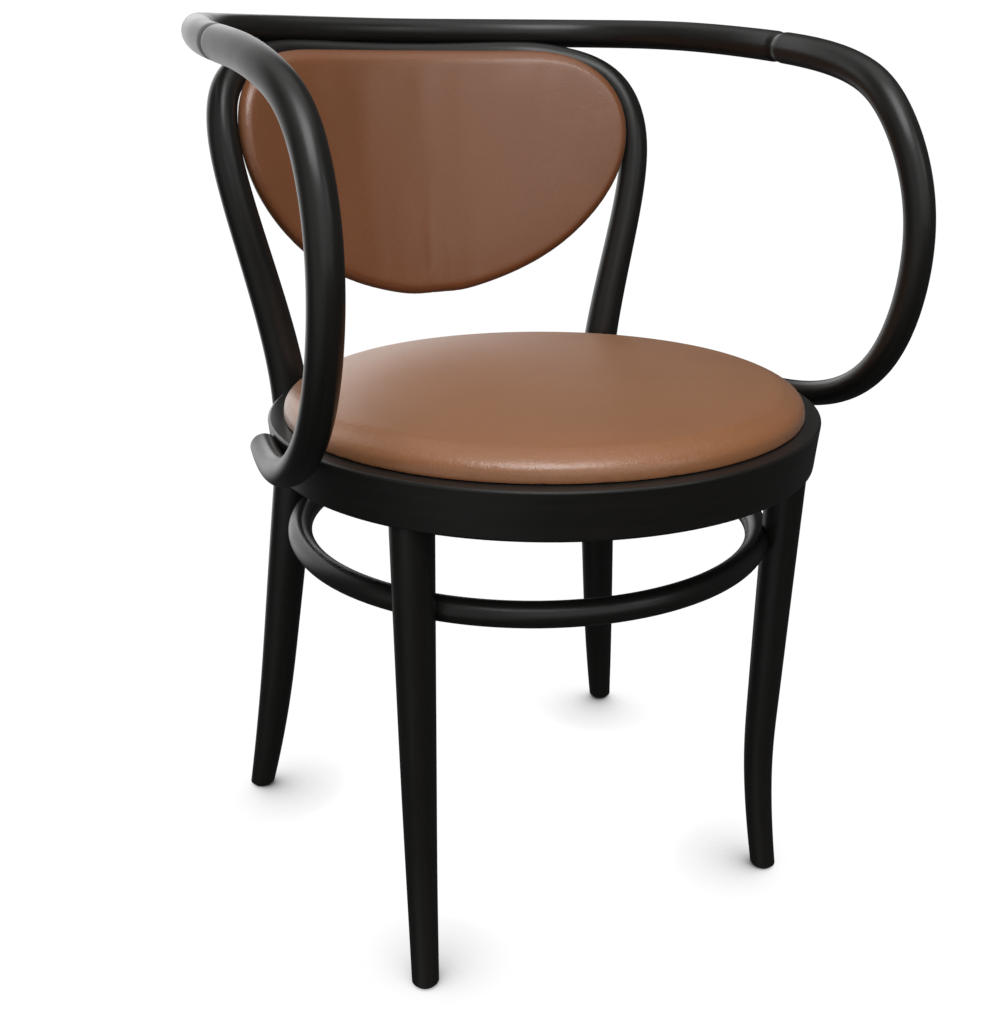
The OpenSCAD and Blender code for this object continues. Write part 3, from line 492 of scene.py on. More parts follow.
def black_beech(graph, timber):
    """Satin black stain on beech. timber is the place in the straight timber before it was bent, with z along it."""
    f = finish()
    fibres = graph.noise(graph.vector("MULTIPLY", timber, (1, 1, 0.016)), 2400, 3)
    bands = graph.noise(graph.vector("MULTIPLY", timber, (1, 1, 0.03)), 240, 2, distortion=0.4)
    pores = graph.noise(graph.vector("MULTIPLY", timber, (1, 1, 0.12)), 4200, 1).ramp(0.66, 0.76)
    handled = graph.noise(timber, 22, 3).ramp(0.40, 0.72)
    streaks = (fibres.ramp(0.35, 0.75) * 0.6 + bands.ramp(0.35, 0.7) * 0.4).clamped()
    stain = graph.blend(streaks, tuple(f.stain), tuple(f.stain_worn))
    stain = graph.blend(pores * 0.6, stain, tuple(c * 0.4 for c in f.stain))
    height = fibres * 0.5 + bands * 0.25 - pores * 0.5
    return {
        "Base Color": stain,
        "Roughness": f.wood_roughness + 0.07 * fibres + 0.06 * handled,
        "Specular IOR Level": 0.42,
        "Normal": graph.bump(height, 0.00005, 0.3),
        "shown": tuple(f.stain),
    }


def bent_beech(graph):
    return black_beech(graph, graph.node("ShaderNodeAttribute", {"attribute_name": "timber"}, out=1))


def ring_beech(graph):
    """The seat ring's grain runs round it, and its joint lies behind."""
    x, y, z = graph.apart(graph.place())
    y = y - Lines(rods()).shift
    out = (x * x + y * y) ** 0.5
    turn = x.math("ARCTAN2", -y)
    return black_beech(graph, graph.together(out, z, turn * 0.2))


def leather(graph, tint, roughness, drawn):
    """Grained, finished leather. drawn is 1 where it is stretched round a rolled edge, and smoother for it; there its
    colour is also painted darker and more saturated, as painted shade for the duller reflection.
    """
    f = finish()
    place = graph.place()
    cells = graph.node(
        "ShaderNodeTexVoronoi", {"feature": "DISTANCE_TO_EDGE"}, {"Vector": place, "Scale": 640.0, "Randomness": 0.95}
    )
    pebble = cells.ramp(0.0, 0.24)
    fine = graph.noise(place, 2400, 2)
    patches = graph.noise(place, 14, 2).ramp(0.3, 0.7)
    folds = graph.noise(graph.vector("MULTIPLY", place, (1, 1, 0.5)), 330, 3, distortion=1.0)
    tone = graph.blend(patches, tuple(c * 0.975 for c in tint), tuple(min(1, c * 1.03) for c in tint))
    tone = graph.blend((1 - pebble) * 0.26, tone, tuple(c * f.leather_dark * 0.7 for c in tint))
    # Painted shade: the rolled edge's colour is made darker and more saturated, for the duller reflection that it shows
    tone = graph.blend(drawn * 0.2, tone, (tint[0] * 0.96, tint[1] * 0.84, tint[2] * 0.74))
    height = pebble * (0.55 - 0.2 * drawn) + fine * 0.25 + folds * (0.15 + 2.4 * drawn)
    return {
        "Base Color": tone,
        "Roughness": roughness + 0.08 * fine - drawn * 0.10,
        "Specular IOR Level": 0.8,
        "Sheen Weight": f.sheen,
        "Sheen Roughness": 0.35,
        "Normal": graph.bump(height, 0.00018, 0.55),
        "shown": tuple(tint),
    }


def rolled_edge(graph):
    """1 on a pad's rolled edge and 0 on its face."""
    return graph.node("ShaderNodeAttribute", {"attribute_name": "rolled"}, out=2)


def seat_hide(graph):
    return leather(graph, finish().seat_leather_painted_lighter, finish().seat_roughness, rolled_edge(graph))


def back_hide(graph):
    return leather(graph, finish().back_leather_painted_darker, finish().back_roughness, rolled_edge(graph))


def liner_hide(graph):
    f = finish()
    # The liner's colour starts from the back's, which carries painted shade
    return leather(graph, tuple(c * 0.85 for c in f.back_leather_painted_darker), f.back_roughness + 0.06, 0)


def metal(tint, roughness):
    """Plated steel or brass, drawn and handled."""

    def paint(graph):
        place = graph.place()
        spots, fine = graph.noise(place, 420, 3), graph.noise(place, 3000, 2)
        return {
            "Base Color": graph.blend(spots.ramp(0.4, 0.8), tuple(tint), tuple(c * 0.72 for c in tint)),
            "Roughness": roughness + 0.14 * spots,
            "Metallic": 1.0,
            "Normal": graph.bump(fine, 0.00003, 0.4),
            "shown": tuple(tint),
        }

    return paint


def plain_wood(graph):
    """Unfinished beech and plywood."""
    place = graph.place()
    grain = graph.noise(graph.vector("MULTIPLY", place, (0.05, 1, 1)), 900, 3)
    figure = graph.noise(graph.vector("MULTIPLY", place, (0.2, 1, 1)), 60, 3, distortion=1.5)
    return {
        "Base Color": graph.blend((grain * 0.6 + figure * 0.4).clamped(), (0.46, 0.30, 0.15), (0.62, 0.44, 0.25)),
        "Roughness": 0.55 + 0.15 * grain,
        "Normal": graph.bump(grain, 0.0001, 0.4),
        "shown": (0.55, 0.38, 0.2),
    }


def dark_cloth(graph):
    """Spun dust cloth, with its embossed dots."""
    place = graph.place()
    x, y, _ = graph.apart(place)
    fluff = graph.noise(place, 1500, 4, 0.7)
    dots = (x.math("MULTIPLY", 3600).math("SINE") * y.math("MULTIPLY", 3600).math("SINE")).ramp(0.3, 0.8)
    return {
        "Base Color": graph.blend(fluff, (0.008, 0.008, 0.009), (0.028, 0.028, 0.031)),
        "Roughness": 0.85 + 0.1 * fluff,
        "Normal": graph.bump(fluff - dots * 0.7, 0.0002, 0.7),
        "shown": (0.02, 0.02, 0.02),
    }


def dark_nylon(graph):
    """Moulded glides, scratched by the floor."""
    place = graph.place()
    scratches = graph.noise(graph.vector("MULTIPLY", place, (0.2, 1.6, 1)), 1400, 3)
    return {
        "Base Color": graph.blend(scratches.ramp(0.5, 0.8), (0.006, 0.006, 0.006), (0.035, 0.034, 0.033)),
        "Roughness": 0.45 + 0.25 * scratches,
        "Normal": graph.bump(scratches, 0.00005, 0.5),
        "shown": (0.01, 0.01, 0.01),
    }


def waxed_thread(graph):
    place = graph.place()
    strands = graph.noise(place, 5200, 2)
    return {
        "Base Color": graph.blend(strands, tuple(finish().thread), tuple(c * 1.7 for c in finish().thread)),
        "Roughness": 0.6 + 0.2 * strands,
        "Normal": graph.bump(strands, 0.0001, 0.6),
        "shown": tuple(finish().thread),
    }


FINISHES = {
    "bent_beech": bent_beech,
    "ring_beech": ring_beech,
    "seat_hide": seat_hide,
    "back_hide": back_hide,
    "liner_hide": liner_hide,
    "plain_wood": plain_wood,
    "dark_cloth": dark_cloth,
    "dark_nylon": dark_nylon,
    "waxed_thread": waxed_thread,
    "plated_steel": metal((0.56, 0.56, 0.57), 0.28),
    "yellow_brass": metal((0.60, 0.42, 0.16), 0.30),
}


def made_of(name):
    return bpy.data.materials.get(name) or surface(name, FINISHES[name])


# Meshes


def add_piece(name, mesh):
    piece = bpy.data.objects.new(name, mesh)
    bpy.context.scene.collection.objects.link(piece)
    return piece


def settle(piece):
    """Turns what a piece's modifiers make into its plain mesh."""
    graph = bpy.context.evaluated_depsgraph_get()
    mesh = bpy.data.meshes.new_from_object(
        piece.evaluated_get(graph), preserve_all_data_layers=True, depsgraph=graph
    )
    piece.modifiers.clear()
    piece.data = mesh
    return piece


def edit(mesh, work):
    """Runs work on a mesh's bmesh form."""
    form = bmesh.new()
    form.from_mesh(mesh)
    work(form)
    form.to_mesh(mesh)
    form.free()
    mesh.update()


def shade(mesh, limit=32):
    """Smooth all over, but crisp along edges that turn more than limit degrees."""

    def work(form):
        bmesh.ops.recalc_face_normals(form, faces=form.faces[:])
        for face in form.faces:
            face.smooth = True
        for edge in form.edges:
            edge.smooth = len(edge.link_faces) == 2 and edge.calc_face_angle(0) < math.radians(limit)

    edit(mesh, work)


def input_key(tree, name):
    return next(i.identifier for i in tree.interface.items_tree if i.in_out == "INPUT" and i.name == name)


def new_tree(name, *sockets):
    """A geometry node tree with named inputs and one result."""
    tree = bpy.data.node_groups.new(name, "GeometryNodeTree")
    for text, kind in sockets:
        tree.interface.new_socket(text, in_out="INPUT", socket_type="NodeSocket" + kind)
    tree.interface.new_socket("Result", in_out="OUTPUT", socket_type="NodeSocketGeometry")
    start = tree.nodes.new("NodeGroupInput")
    return Graph(tree), [Value(None, start.outputs[text]) for text, _ in sockets]


def kept(graph, geometry, value, kind):
    """Captures a value on a geometry's points: (the geometry, the value further on)."""
    node = graph.tree.nodes.new("GeometryNodeCaptureAttribute")
    node.capture_items.new(kind, "Kept")
    graph.tree.links.new(geometry.socket, node.inputs[0])
    graph.tree.links.new(value.socket, node.inputs[1])
    return Value(graph, node.outputs[0]), Value(graph, node.outputs[1])


def run_tree(piece, tree, **inputs):
    """Runs a node tree on a piece and keeps what it makes. An input's name is its keyword, in small letters."""
    step = piece.modifiers.new("Grown", "NODES")
    step.node_group = tree
    for name, value in inputs.items():
        step[input_key(tree, name.replace("_", " ").capitalize())] = value
    return settle(piece)


def rod_tree():
    """Sweeps a round rod along a line whose points hold its radius, and keeps each place in the straight timber."""
    found = bpy.data.node_groups.get("Bent rod")
    if found:
        return found
    graph, (line, sides, material) = new_tree(
        "Bent rod", ("Line", "Geometry"), ("Sides", "Int"), ("Material", "Material")
    )
    curve = graph.node("GeometryNodeMeshToCurve", None, {"Mesh": line})
    curve, along = kept(graph, curve, graph.node("GeometryNodeSplineParameter", out=1), "FLOAT")
    ring = graph.node("GeometryNodeCurvePrimitiveCircle", None, {"Resolution": sides, "Radius": 1.0})
    ring, around = kept(graph, ring, graph.node("GeometryNodeInputPosition"), "VECTOR")
    radius = graph.node("GeometryNodeInputNamedAttribute", {"data_type": "FLOAT"}, {"Name": "rod_radius"})
    rod = graph.node(
        "GeometryNodeCurveToMesh", None, {"Curve": curve, "Profile Curve": ring, "Scale": radius, "Fill Caps": True}
    )
    timber = graph.node("ShaderNodeVectorMath", {"operation": "SCALE"}, {0: around, "Scale": radius})
    timber = graph.vector("ADD", timber, graph.together(0.0, 0.0, along))
    rod = graph.node(
        "GeometryNodeStoreNamedAttribute",
        {"data_type": "FLOAT_VECTOR", "domain": "CORNER"},
        {"Geometry": rod, "Name": "timber", "Value": timber},
    )
    rod = graph.node("GeometryNodeRealizeInstances", None, {"Geometry": rod})
    rod = graph.node("GeometryNodeSetMaterial", None, {"Geometry": rod, "Material": material})
    graph.node("NodeGroupOutput", None, {"Result": rod})
    return graph.tree


def bent_rod(name, line, closed=False, sides=None, grown=0.0):
    """A round rod along a line of [x, y, z, radius], measured from the seat ring's middle."""
    line = np.array(line, float)
    line[:, 1] += Lines(rods()).shift
    count = len(line)
    mesh = bpy.data.meshes.new(name)
    edges = [(i, i + 1) for i in range(count - 1)] + ([(count - 1, 0)] if closed else [])
    mesh.from_pydata([tuple(p[:3]) for p in line], edges, [])
    mesh.attributes.new("rod_radius", "FLOAT", "POINT").data.foreach_set("value", line[:, 3] + grown)
    return run_tree(add_piece(name, mesh), rod_tree(), sides=sides or rods().sides, material=made_of("bent_beech"))


def drawn_out(line, start=0.0, end=0.0):
    """A line with a straight piece added at either end, to be trimmed level there."""
    line = np.array(line, float)
    if start:
        step = line[0, :3] - line[1, :3]
        line = np.vstack([np.append(line[0, :3] + step / np.linalg.norm(step) * start, line[0, 3]), line])
    if end:
        step = line[-1, :3] - line[-2, :3]
        line = np.vstack([line, np.append(line[-1, :3] + step / np.linalg.norm(step) * end, line[-1, 3])])
    return line


def trim(piece, height, above=True, soft=0.0):
    """Cuts a rod level at a height, closes it there and softens the rim."""

    def work(form):
        cut = bmesh.ops.bisect_plane(
            form,
            geom=form.verts[:] + form.edges[:] + form.faces[:],
            dist=1e-7,
            plane_co=(0, 0, height),
            plane_no=(0, 0, 1),
            clear_inner=above,
            clear_outer=not above,
        )
        rim = [e for e in cut["geom_cut"] if isinstance(e, bmesh.types.BMEdge)]
        bmesh.ops.edgeloop_fill(form, edges=rim)
        if soft:
            bmesh.ops.bevel(form, geom=rim, offset=soft, segments=3, profile=0.5, affect="EDGES")

    edit(piece.data, work)


def carve(piece, *cutters):
    """Cuts the other forms out of a piece, and removes them."""
    for cutter in cutters:
        step = piece.modifiers.new("Carve", "BOOLEAN")
        step.operation, step.solver, step.object = "DIFFERENCE", "EXACT", cutter
    settle(piece)
    for cutter in cutters:
        bpy.data.objects.remove(cutter)


def seat_ring_form():
    """The outside of the seat ring, grown by a gap, for scribing what bears on it."""
    s, centre = rods(), Lines(rods()).shift
    mesh = bpy.data.meshes.new("seat_ring_form")

    def work(form):
        bmesh.ops.create_cone(
            form,
            cap_ends=True,
            segments=256,
            radius1=s.seat_ring_r - s.seat_ring_taper + LET_GAP,
            radius2=s.seat_ring_r + LET_GAP,
            depth=s.seat_ring_h,
            matrix=Matrix.Translation((0, centre, s.seat_ring_top - s.seat_ring_h / 2)),
        )

    edit(mesh, work)
    return add_piece("seat_ring_form", mesh)


def finished(piece, node, limit=32):
    """Shades a piece and lets it stand for its CAD node."""
    shade(piece.data, limit)
    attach(piece, BODY)
    if node:
        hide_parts(*([node] if isinstance(node, str) else node))


def mirrored(line):
    line = np.array(line, float)
    line[:, 0] *= -1
    return line


class Making(bpy.types.Operator):
    """Base of the operators that make pieces"""

    bl_options = {"REGISTER", "UNDO"}

    def execute(self, context):
        self.make()
        return {"FINISHED"}


class MakeBow(Making):
    """Makes the top rail and the two arms, which follow one curve"""

    bl_idname = "armchair.bow"
    bl_label = "Make the bow"

    def make(self):
        lines = Lines(rods())
        whole, joint = spans(lines.bow), lines.arm_joint
        rail = bent_rod("rail_rod", lines.bow_stretch(joint, whole - joint, 420))
        finished(rail, "back_rail")
        arm = lines.bow_stretch(0, joint, 300)
        for name, line in (("right", arm), ("left", mirrored(arm))):
            piece = bent_rod("arm_rod_" + name, line)
            carve(piece, seat_ring_form())
            finished(piece, "arm_" + name)


class MakeHoop(Making):
    """Makes the hoop, which is both rear legs and the frame of the back"""

    bl_idname = "armchair.hoop"
    bl_label = "Make the hoop"

    def make(self):
        s, lines = rods(), Lines(rods())
        line = drawn_out(samples(lines.hoop, 0, spans(lines.hoop), 700), s.rear_leg_r / 2, s.rear_leg_r / 2)
        hoop = bent_rod("hoop_rod", line)
        trim(hoop, s.glide_t, soft=s.foot_softness)
        carve(hoop, seat_ring_form(), leg_ring_form(), *sinks("rail_screws"), *sinks("back_board_screws"))
        finished(hoop, "back_hoop")


def leg_ring_form():
    """The leg ring, grown by a gap, for cutting its housings."""
    return bent_rod("leg_ring_form", Lines(rods()).leg_ring, closed=True, sides=32, grown=LET_GAP)


class MakeFrontLegs(Making):
    """Makes the two front legs"""

    bl_idname = "armchair.front_legs"
    bl_label = "Make the front legs"

    def make(self):
        s, lines = rods(), Lines(rods())
        leg = samples(lines.front_leg, 0, spans(lines.front_leg), 160)
        for name, line in (("right", leg), ("left", mirrored(leg))):
            piece = bent_rod("front_leg_rod_" + name, drawn_out(line, s.front_leg_r / 2, s.front_leg_r / 2))
            trim(piece, s.glide_t, soft=s.foot_softness)
            trim(piece, s.seat_ring_top - s.seat_ring_h, above=False)
            carve(piece, leg_ring_form())
            finished(piece, "front_leg_" + name)


class MakeLegRing(Making):
    """Makes the leg ring"""

    bl_idname = "armchair.leg_ring"
    bl_label = "Make the leg ring"

    def make(self):
        ring = bent_rod("leg_ring_rod", Lines(rods()).leg_ring, closed=True)
        carve(ring, *sinks("leg_ring_screws"))
        finished(ring, "leg_ring")


def loops_mesh(name, loops, start=None, end=None):
    """A skin over loops of points with equal counts, closed at its poles."""
    count = len(loops[0])
    points = [p for loop in loops for p in loop]
    faces = []
    for i in range(len(loops) - 1):
        for k in range(count):
            n = (k + 1) % count
            faces.append((i * count + k, i * count + n, (i + 1) * count + n, (i + 1) * count + k))
    for pole, row in ((start, 0), (end, len(loops) - 1)):
        if pole is not None:
            points.append(pole)
            faces += [(len(points) - 1, row * count + (k + 1) % count, row * count + k) for k in range(count)]
    mesh = bpy.data.meshes.new(name)
    mesh.from_pydata([tuple(p) for p in points], [], faces)
    return mesh


def ring_points(r, centre, z, turns):
    """Points at a radius and a height, or at one of each per turn, round the seat ring's middle."""
    return np.stack([r * np.cos(turns), centre + r * np.sin(turns), np.broadcast_to(z, turns.shape)], 1)


def face_grid(n):
    """Even fields over a round face: each point's share of the way out and its turn, the fields, the rim in order."""
    shares, turns = [], []
    for b in np.linspace(-1, 1, n + 1):
        for a in np.linspace(-1, 1, n + 1):
            shares.append(max(abs(a), abs(b)))
            if shares[-1] < 1e-9:
                turns.append(0.0)
            elif abs(a) >= abs(b):
                turns.append((b / a / 8 + (0 if a > 0 else 0.5)) % 1)
            else:
                turns.append((-a / b / 8 + (0.25 if b > 0 else 0.75)) % 1)
    row = n + 1
    corners = [j * row + i for j in range(n) for i in range(n)]
    fields = [(k, k + 1, k + row + 1, k + row) for k in corners]
    rim = {round(turns[k] * 4 * n) % (4 * n): k for k in range(row * row) if shares[k] > 1 - 1e-9}
    return np.array(shares), np.array(turns), fields, [rim[k] for k in range(4 * n)]


def between(loop, turns):
    """The places at some turns round a closed loop of points."""
    at = turns * len(loop)
    low, part = np.floor(at).astype(int) % len(loop), (at - np.floor(at))[:, None]
    return loop[low] * (1 - part) + loop[(low + 1) % len(loop)] * part


def pad_piece(name, face, fields, rim, loops, back, material, rolled):
    """A closed pad: a face of even fields, loops on from its rim, and a like face inside. rolled is for each loop."""
    count = len(rim)
    points = [tuple(q) for q in face]
    rings = [rim]
    for loop in loops:
        rings.append(list(range(len(points), len(points) + count)))
        points += [tuple(q) for q in loop]
    faces = list(fields)
    for near, far in zip(rings, rings[1:]):
        faces += [(near[k], near[(k + 1) % count], far[(k + 1) % count], far[k]) for k in range(count)]
    numbers = dict(zip(rim, rings[-1]))
    for k, q in enumerate(back):
        if k not in numbers:
            numbers[k] = len(points)
            points.append(tuple(q))
    faces += [tuple(numbers[k] for k in reversed(field)) for field in fields]
    mesh = bpy.data.meshes.new(name)
    mesh.from_pydata(points, [], faces)
    values = np.zeros(len(points))
    for ring, value in zip(rings[1:], rolled):
        values[ring] = value
    mesh.attributes.new("rolled", "FLOAT", "POINT").data.foreach_set("value", values)
    mesh.materials.append(made_of(material))
    shade(mesh, 180)
    return add_piece(name, mesh)


def places_of(mesh):
    out = np.empty(len(mesh.vertices) * 3)
    mesh.vertices.foreach_get("co", out)
    return out.reshape(-1, 3)


def stuff(piece, free, p):
    """Lets the stuffing's pressure swell a pad's leather where it is free, and limits how far it moves."""
    start = places_of(piece.data)
    held = piece.vertex_groups.new(name="held")
    held.add([int(k) for k in np.flatnonzero(~free)], 1.0, "REPLACE")
    step = piece.modifiers.new("Stuffing", "CLOTH")
    cloth = step.settings
    cloth.quality, cloth.mass = 6, 0.2
    cloth.tension_stiffness = cloth.compression_stiffness = 25
    cloth.shear_stiffness, cloth.bending_stiffness = 10, 1.0
    cloth.vertex_group_mass = "held"
    cloth.use_pressure, cloth.uniform_pressure_force = True, p.pressure
    cloth.effector_weights.gravity = 0
    step.point_cache.frame_start, step.point_cache.frame_end = 1, STUFFING_FRAMES
    for frame_number in range(1, STUFFING_FRAMES + 1):
        bpy.context.scene.frame_set(frame_number)
    swollen = piece.evaluated_get(bpy.context.evaluated_depsgraph_get()).to_mesh()
    move = places_of(swollen) - start
    piece.modifiers.remove(step)
    piece.vertex_groups.remove(held)
    bpy.context.scene.frame_set(1)
    far = np.linalg.norm(move, axis=1)[:, None]
    move *= np.tanh(far / p.swell_cap) * p.swell_cap / np.maximum(far, 1e-9)
    for _ in range(3):
        move = evened(piece.data, move)
    piece.data.vertices.foreach_set("co", (start + move * free[:, None]).ravel())
    piece.data.update()


def evened(mesh, move):
    """Each point's move, averaged with its neighbours'."""
    ends = np.empty(len(mesh.edges) * 2, int)
    mesh.edges.foreach_get("vertices", ends)
    a, b = ends.reshape(-1, 2).T
    total, count = move.copy(), np.ones(len(move))
    np.add.at(total, a, move[b])
    np.add.at(total, b, move[a])
    np.add.at(count, a, 1)
    np.add.at(count, b, 1)
    return total / count[:, None]


def softened(piece):
    """One subdivision, made part of the mesh."""
    step = piece.modifiers.new("Soft", "SUBSURF")
    step.levels = step.render_levels = 1
    return settle(piece)


def pucker(piece, depth, grain):
    """Presses the small folds of gathered leather into a pad's rolled edge. grain gives the folds' own place."""
    mesh = piece.data
    rolled = np.empty(len(mesh.vertices))
    mesh.attributes["rolled"].data.foreach_get("value", rolled)
    places, normals = places_of(mesh), np.empty(len(mesh.vertices) * 3)
    mesh.vertices.foreach_get("normal", normals)
    folds = np.zeros(len(places))
    for k in np.flatnonzero(rolled > 0.05):
        at = Vector(grain(places[k]))
        folds[k] = max(0, noise.noise(at) + 0.5 * noise.noise(at * 2.3)) * min(rolled[k], 1)
    places -= normals.reshape(-1, 3) * (depth * folds)[:, None]
    mesh.vertices.foreach_set("co", places.ravel())
    mesh.update()


def bow_of(points, steps):
    """Points along a cubic Bezier."""
    a, b, c, d = (np.array(q) for q in points)
    return [
        (1 - t) ** 3 * a + 3 * t * (1 - t) ** 2 * b + 3 * t * t * (1 - t) * c + t**3 * d
        for t in np.linspace(0, 1, steps + 1)
    ]


def pad_slack():
    """How far a pad's leather starts inside its shape."""
    return SLACK


def stuffed(pad, face, rim, depth, grain, nodes):
    """Stuffs the face and the first loops of a pad, but not its crease, and gives it its folds."""
    free = np.zeros(len(pad.data.vertices), bool)
    free[: len(face) + FREE_LOOPS * len(rim)] = True
    free[rim] = False
    stuff(pad, free, pads())
    softened(pad)
    pucker(pad, depth, grain)
    finished(pad, nodes, 50)


class MakeSeatPad(Making):
    """Makes the stuffed leather seat pad"""

    bl_idname = "armchair.seat_pad"
    bl_label = "Make the seat pad"

    def make(self):
        s, p, slack = rods(), pads(), pad_slack()
        board_low, board_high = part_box("seat_board")
        board_r = (board_high[0] - board_low[0]) / 2 + LAYER_GAP
        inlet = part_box("seat_dust_cover")[1][0] - SEAT_HEM
        sink = board_low[2] - s.seat_ring_top
        centre = Lines(s).shift
        hem, hem_z = board_r + p.leather_t, sink - p.leather_t
        crease, rim, top = p.seat_pad_r - p.seat_roll, p.seat_pad_r - slack / RIM_SLACK_PART, p.seat_pad_h
        shoulder = (crease + 0.45 * p.seat_roll, top - 3.6 * MM)
        roll = bow_of(((crease, top), shoulder, (rim, top - 7 * MM), (rim, 5 * MM)), FREE_LOOPS + 1)
        # Radius, height over the seat ring and share of the rolled edge of each loop, on under the pad to its hollow
        profile = [(*q, 1.0) for q in roll[1:]] + [
            (p.seat_pad_r, 2 * MM, 1.0), (p.seat_pad_r - 0.3 * MM, LAYER_GAP, 1.0), (hem + 1 * MM, LAYER_GAP, 1.0),
            (hem, LAYER_GAP, 0.0), (hem, hem_z, 0.0), (inlet, hem_z, 0.0), (inlet, sink, 0.0),
            (board_r, sink, 0.0), (board_r, SEAT_LIFT, 0.0), (board_r - SEAT_STEP, SEAT_LIFT, 0.0),
        ]
        shares, turns, fields, order = face_grid(60)
        angles = turns * 2 * math.pi
        face_z = s.seat_ring_top + top + (p.seat_crown - slack) * (1 - shares**2)
        face = ring_points(shares * crease, centre, face_z, angles)
        inside = ring_points(shares * (board_r - SEAT_STEP), centre, s.seat_ring_top + SEAT_LIFT, angles)
        round_rim = np.arange(len(order)) / len(order) * 2 * math.pi
        loops = [ring_points(r, centre, s.seat_ring_top + z, round_rim) for r, z, _ in profile]
        rolled = [row[2] for row in profile]
        pad = pad_piece("seat_pad_leather", face, fields, order, loops, inside, "seat_hide", rolled)

        def grain(q):
            return math.atan2(q[1] - centre, q[0]) * 60, math.hypot(q[0], q[1] - centre) * 90, q[2] * 90

        stuffed(pad, face, order, p.pucker, grain, ["seat_foam", "seat_cover"])


# Outline of the back pad, right half from the top to the bottom, as shares of its half width and height
BACK_OUTLINE = [
    (0.13, 1.000), (0.52, 1.000), (0.81, 1.000), (1.030, 0.820),
    (0.995, 0.465), (0.64, 0.123), (0.19, 0.000), (0.07, 0.000),
]


class BackForm:
    """Surfaces of the back pad: loops that follow its outline at a depth behind its middle surface."""

    def __init__(self, s, p, steps=14):
        lines = Lines(s)
        self.p, self.shift = p, lines.shift
        self.w = lines.hoop_wide[0] - lines.hoop_wide[3] - p.back_side_gap
        self.t = p.leather_t * 2 + LAYER_GAP * 3 + p.back_board_t + p.back_foam_t
        self.top_z = lines.hoop_middle[2] + p.back_rise
        self.top_y = lines.hoop_middle[1] - lines.hoop_middle[3] - self.t / 2 - LET_GAP
        control = [np.array([x * self.w, self.top_z - (1 - y) * p.back_h]) for x, y in BACK_OUTLINE]
        control += [np.array([-q[0], q[1]]) for q in reversed(control)]
        count = len(control)
        outline = []
        for i in range(count):
            a, b, c, d = (control[(i + j) % count] for j in range(4))
            for t in np.arange(steps) / steps:
                near = (1 - t) ** 3 * a + (3 * t**3 - 6 * t * t + 4) * b
                outline.append((near + (3 * t * (1 + t - t * t) + 1) * c + t**3 * d) / 6)
        self.outline = np.array(outline)
        along = np.roll(self.outline, -1, 0) - np.roll(self.outline, 1, 0)
        out = np.stack([-along[:, 1], along[:, 0]], 1)
        self.out = out / np.linalg.norm(out, axis=1)[:, None]
        self.middle = np.array([0, self.top_z - p.back_h / 2])
        self.front = -self.t / 2
        self.foam_back = self.front + p.leather_t + LAYER_GAP + p.back_foam_t
        self.board_back = self.foam_back + LAYER_GAP + p.back_board_t

    def lift(self, flat, depth):
        x, z = flat[:, 0], flat[:, 1]
        p = self.p
        y = self.top_y - p.back_lean * (self.top_z - z) / p.back_h - p.back_bow * x * x / self.w**2
        return np.stack([x, y + depth + self.shift, z], 1)

    def loop(self, inset, share, depth):
        edge = self.outline - inset * self.out
        return self.lift(self.middle + share * (edge - self.middle), depth)

    def pole(self, depth):
        return self.lift(self.middle[None], depth)[0]


class MakeBackPad(Making):
    """Makes the stuffed leather back pad"""

    bl_idname = "armchair.back_pad"
    bl_label = "Make the back pad"

    def make(self):
        s, p, slack = rods(), pads(), pad_slack()
        form = BackForm(s, p)
        roll, front, crease = p.back_roll, form.front, math.radians(72)
        shares, turns, fields, order = face_grid(56)
        inset = roll * (1 - math.cos(crease)) + slack / RIM_SLACK_PART
        edge = between(form.outline - inset * form.out, turns)
        flat = form.middle + shares[:, None] * (edge - form.middle)
        face = form.lift(flat, front + slack * (1 - shares**2) + roll * (1 - math.sin(crease)) * shares**6)
        loops = []
        for a in np.linspace(crease, 0, FREE_LOOPS + 1)[1:]:
            puff = p.back_puff * (1 - a / crease) ** 2
            inset = roll * (1 - math.cos(a)) + slack / RIM_SLACK_PART - puff
            loops.append(form.loop(inset, 1, front + roll * (1 - math.sin(a))))
        for share in (0.25, 0.5, 0.75, 1.0):
            depth = front + roll + share * (form.board_back - front - roll)
            loops.append(form.loop(-p.back_puff * (1 - share**2), 1, depth))
        inner = p.leather_t + LAYER_GAP
        loops += [form.loop(inset, 1, form.board_back) for inset in (inner / 2, inner)]
        rolled = [1.0] * (len(loops) - 1) + [0.0] * 4
        loops += [form.loop(inset, 1, form.foam_back) for inset in (inner, *BACK_STEPS)]
        edge = between(form.outline - BACK_STEPS[-1] * form.out, turns)
        inside = form.lift(form.middle + shares[:, None] * (edge - form.middle), form.foam_back)
        pad = pad_piece("back_pad_leather", face, fields, order, loops, inside, "back_hide", rolled)
        stuffed(pad, face, order, p.pucker * 0.6, lambda q: q * (260, 90, 260), ["back_foam", "back_cover"])


class MakeBackLiner(Making):
    """Makes the leather panel on the back of the back pad"""

    bl_idname = "armchair.back_liner"
    bl_label = "Make the back liner"

    def make(self):
        s, p = rods(), pads()
        form = BackForm(s, p)
        near, far = form.board_back + LAYER_GAP, form.board_back + p.leather_t
        soft, edge, field = 0.35 * MM, 1 * MM, 8 * MM
        loops = [form.loop(field, i / 6, far) for i in range(1, 7)]
        loops += [form.loop(edge + soft, 1, far), form.loop(edge, 1, far - soft), form.loop(edge, 1, near + soft)]
        loops += [form.loop(edge + soft, 1, near), form.loop(field, 1, near), form.loop(field, 0.5, near)]
        mesh = loops_mesh("back_liner_leather", loops, form.pole(far), form.pole(near))
        mesh.materials.append(made_of("liner_hide"))
        liner = add_piece("back_liner_leather", mesh)
        finished(liner, "back_liner", 40)


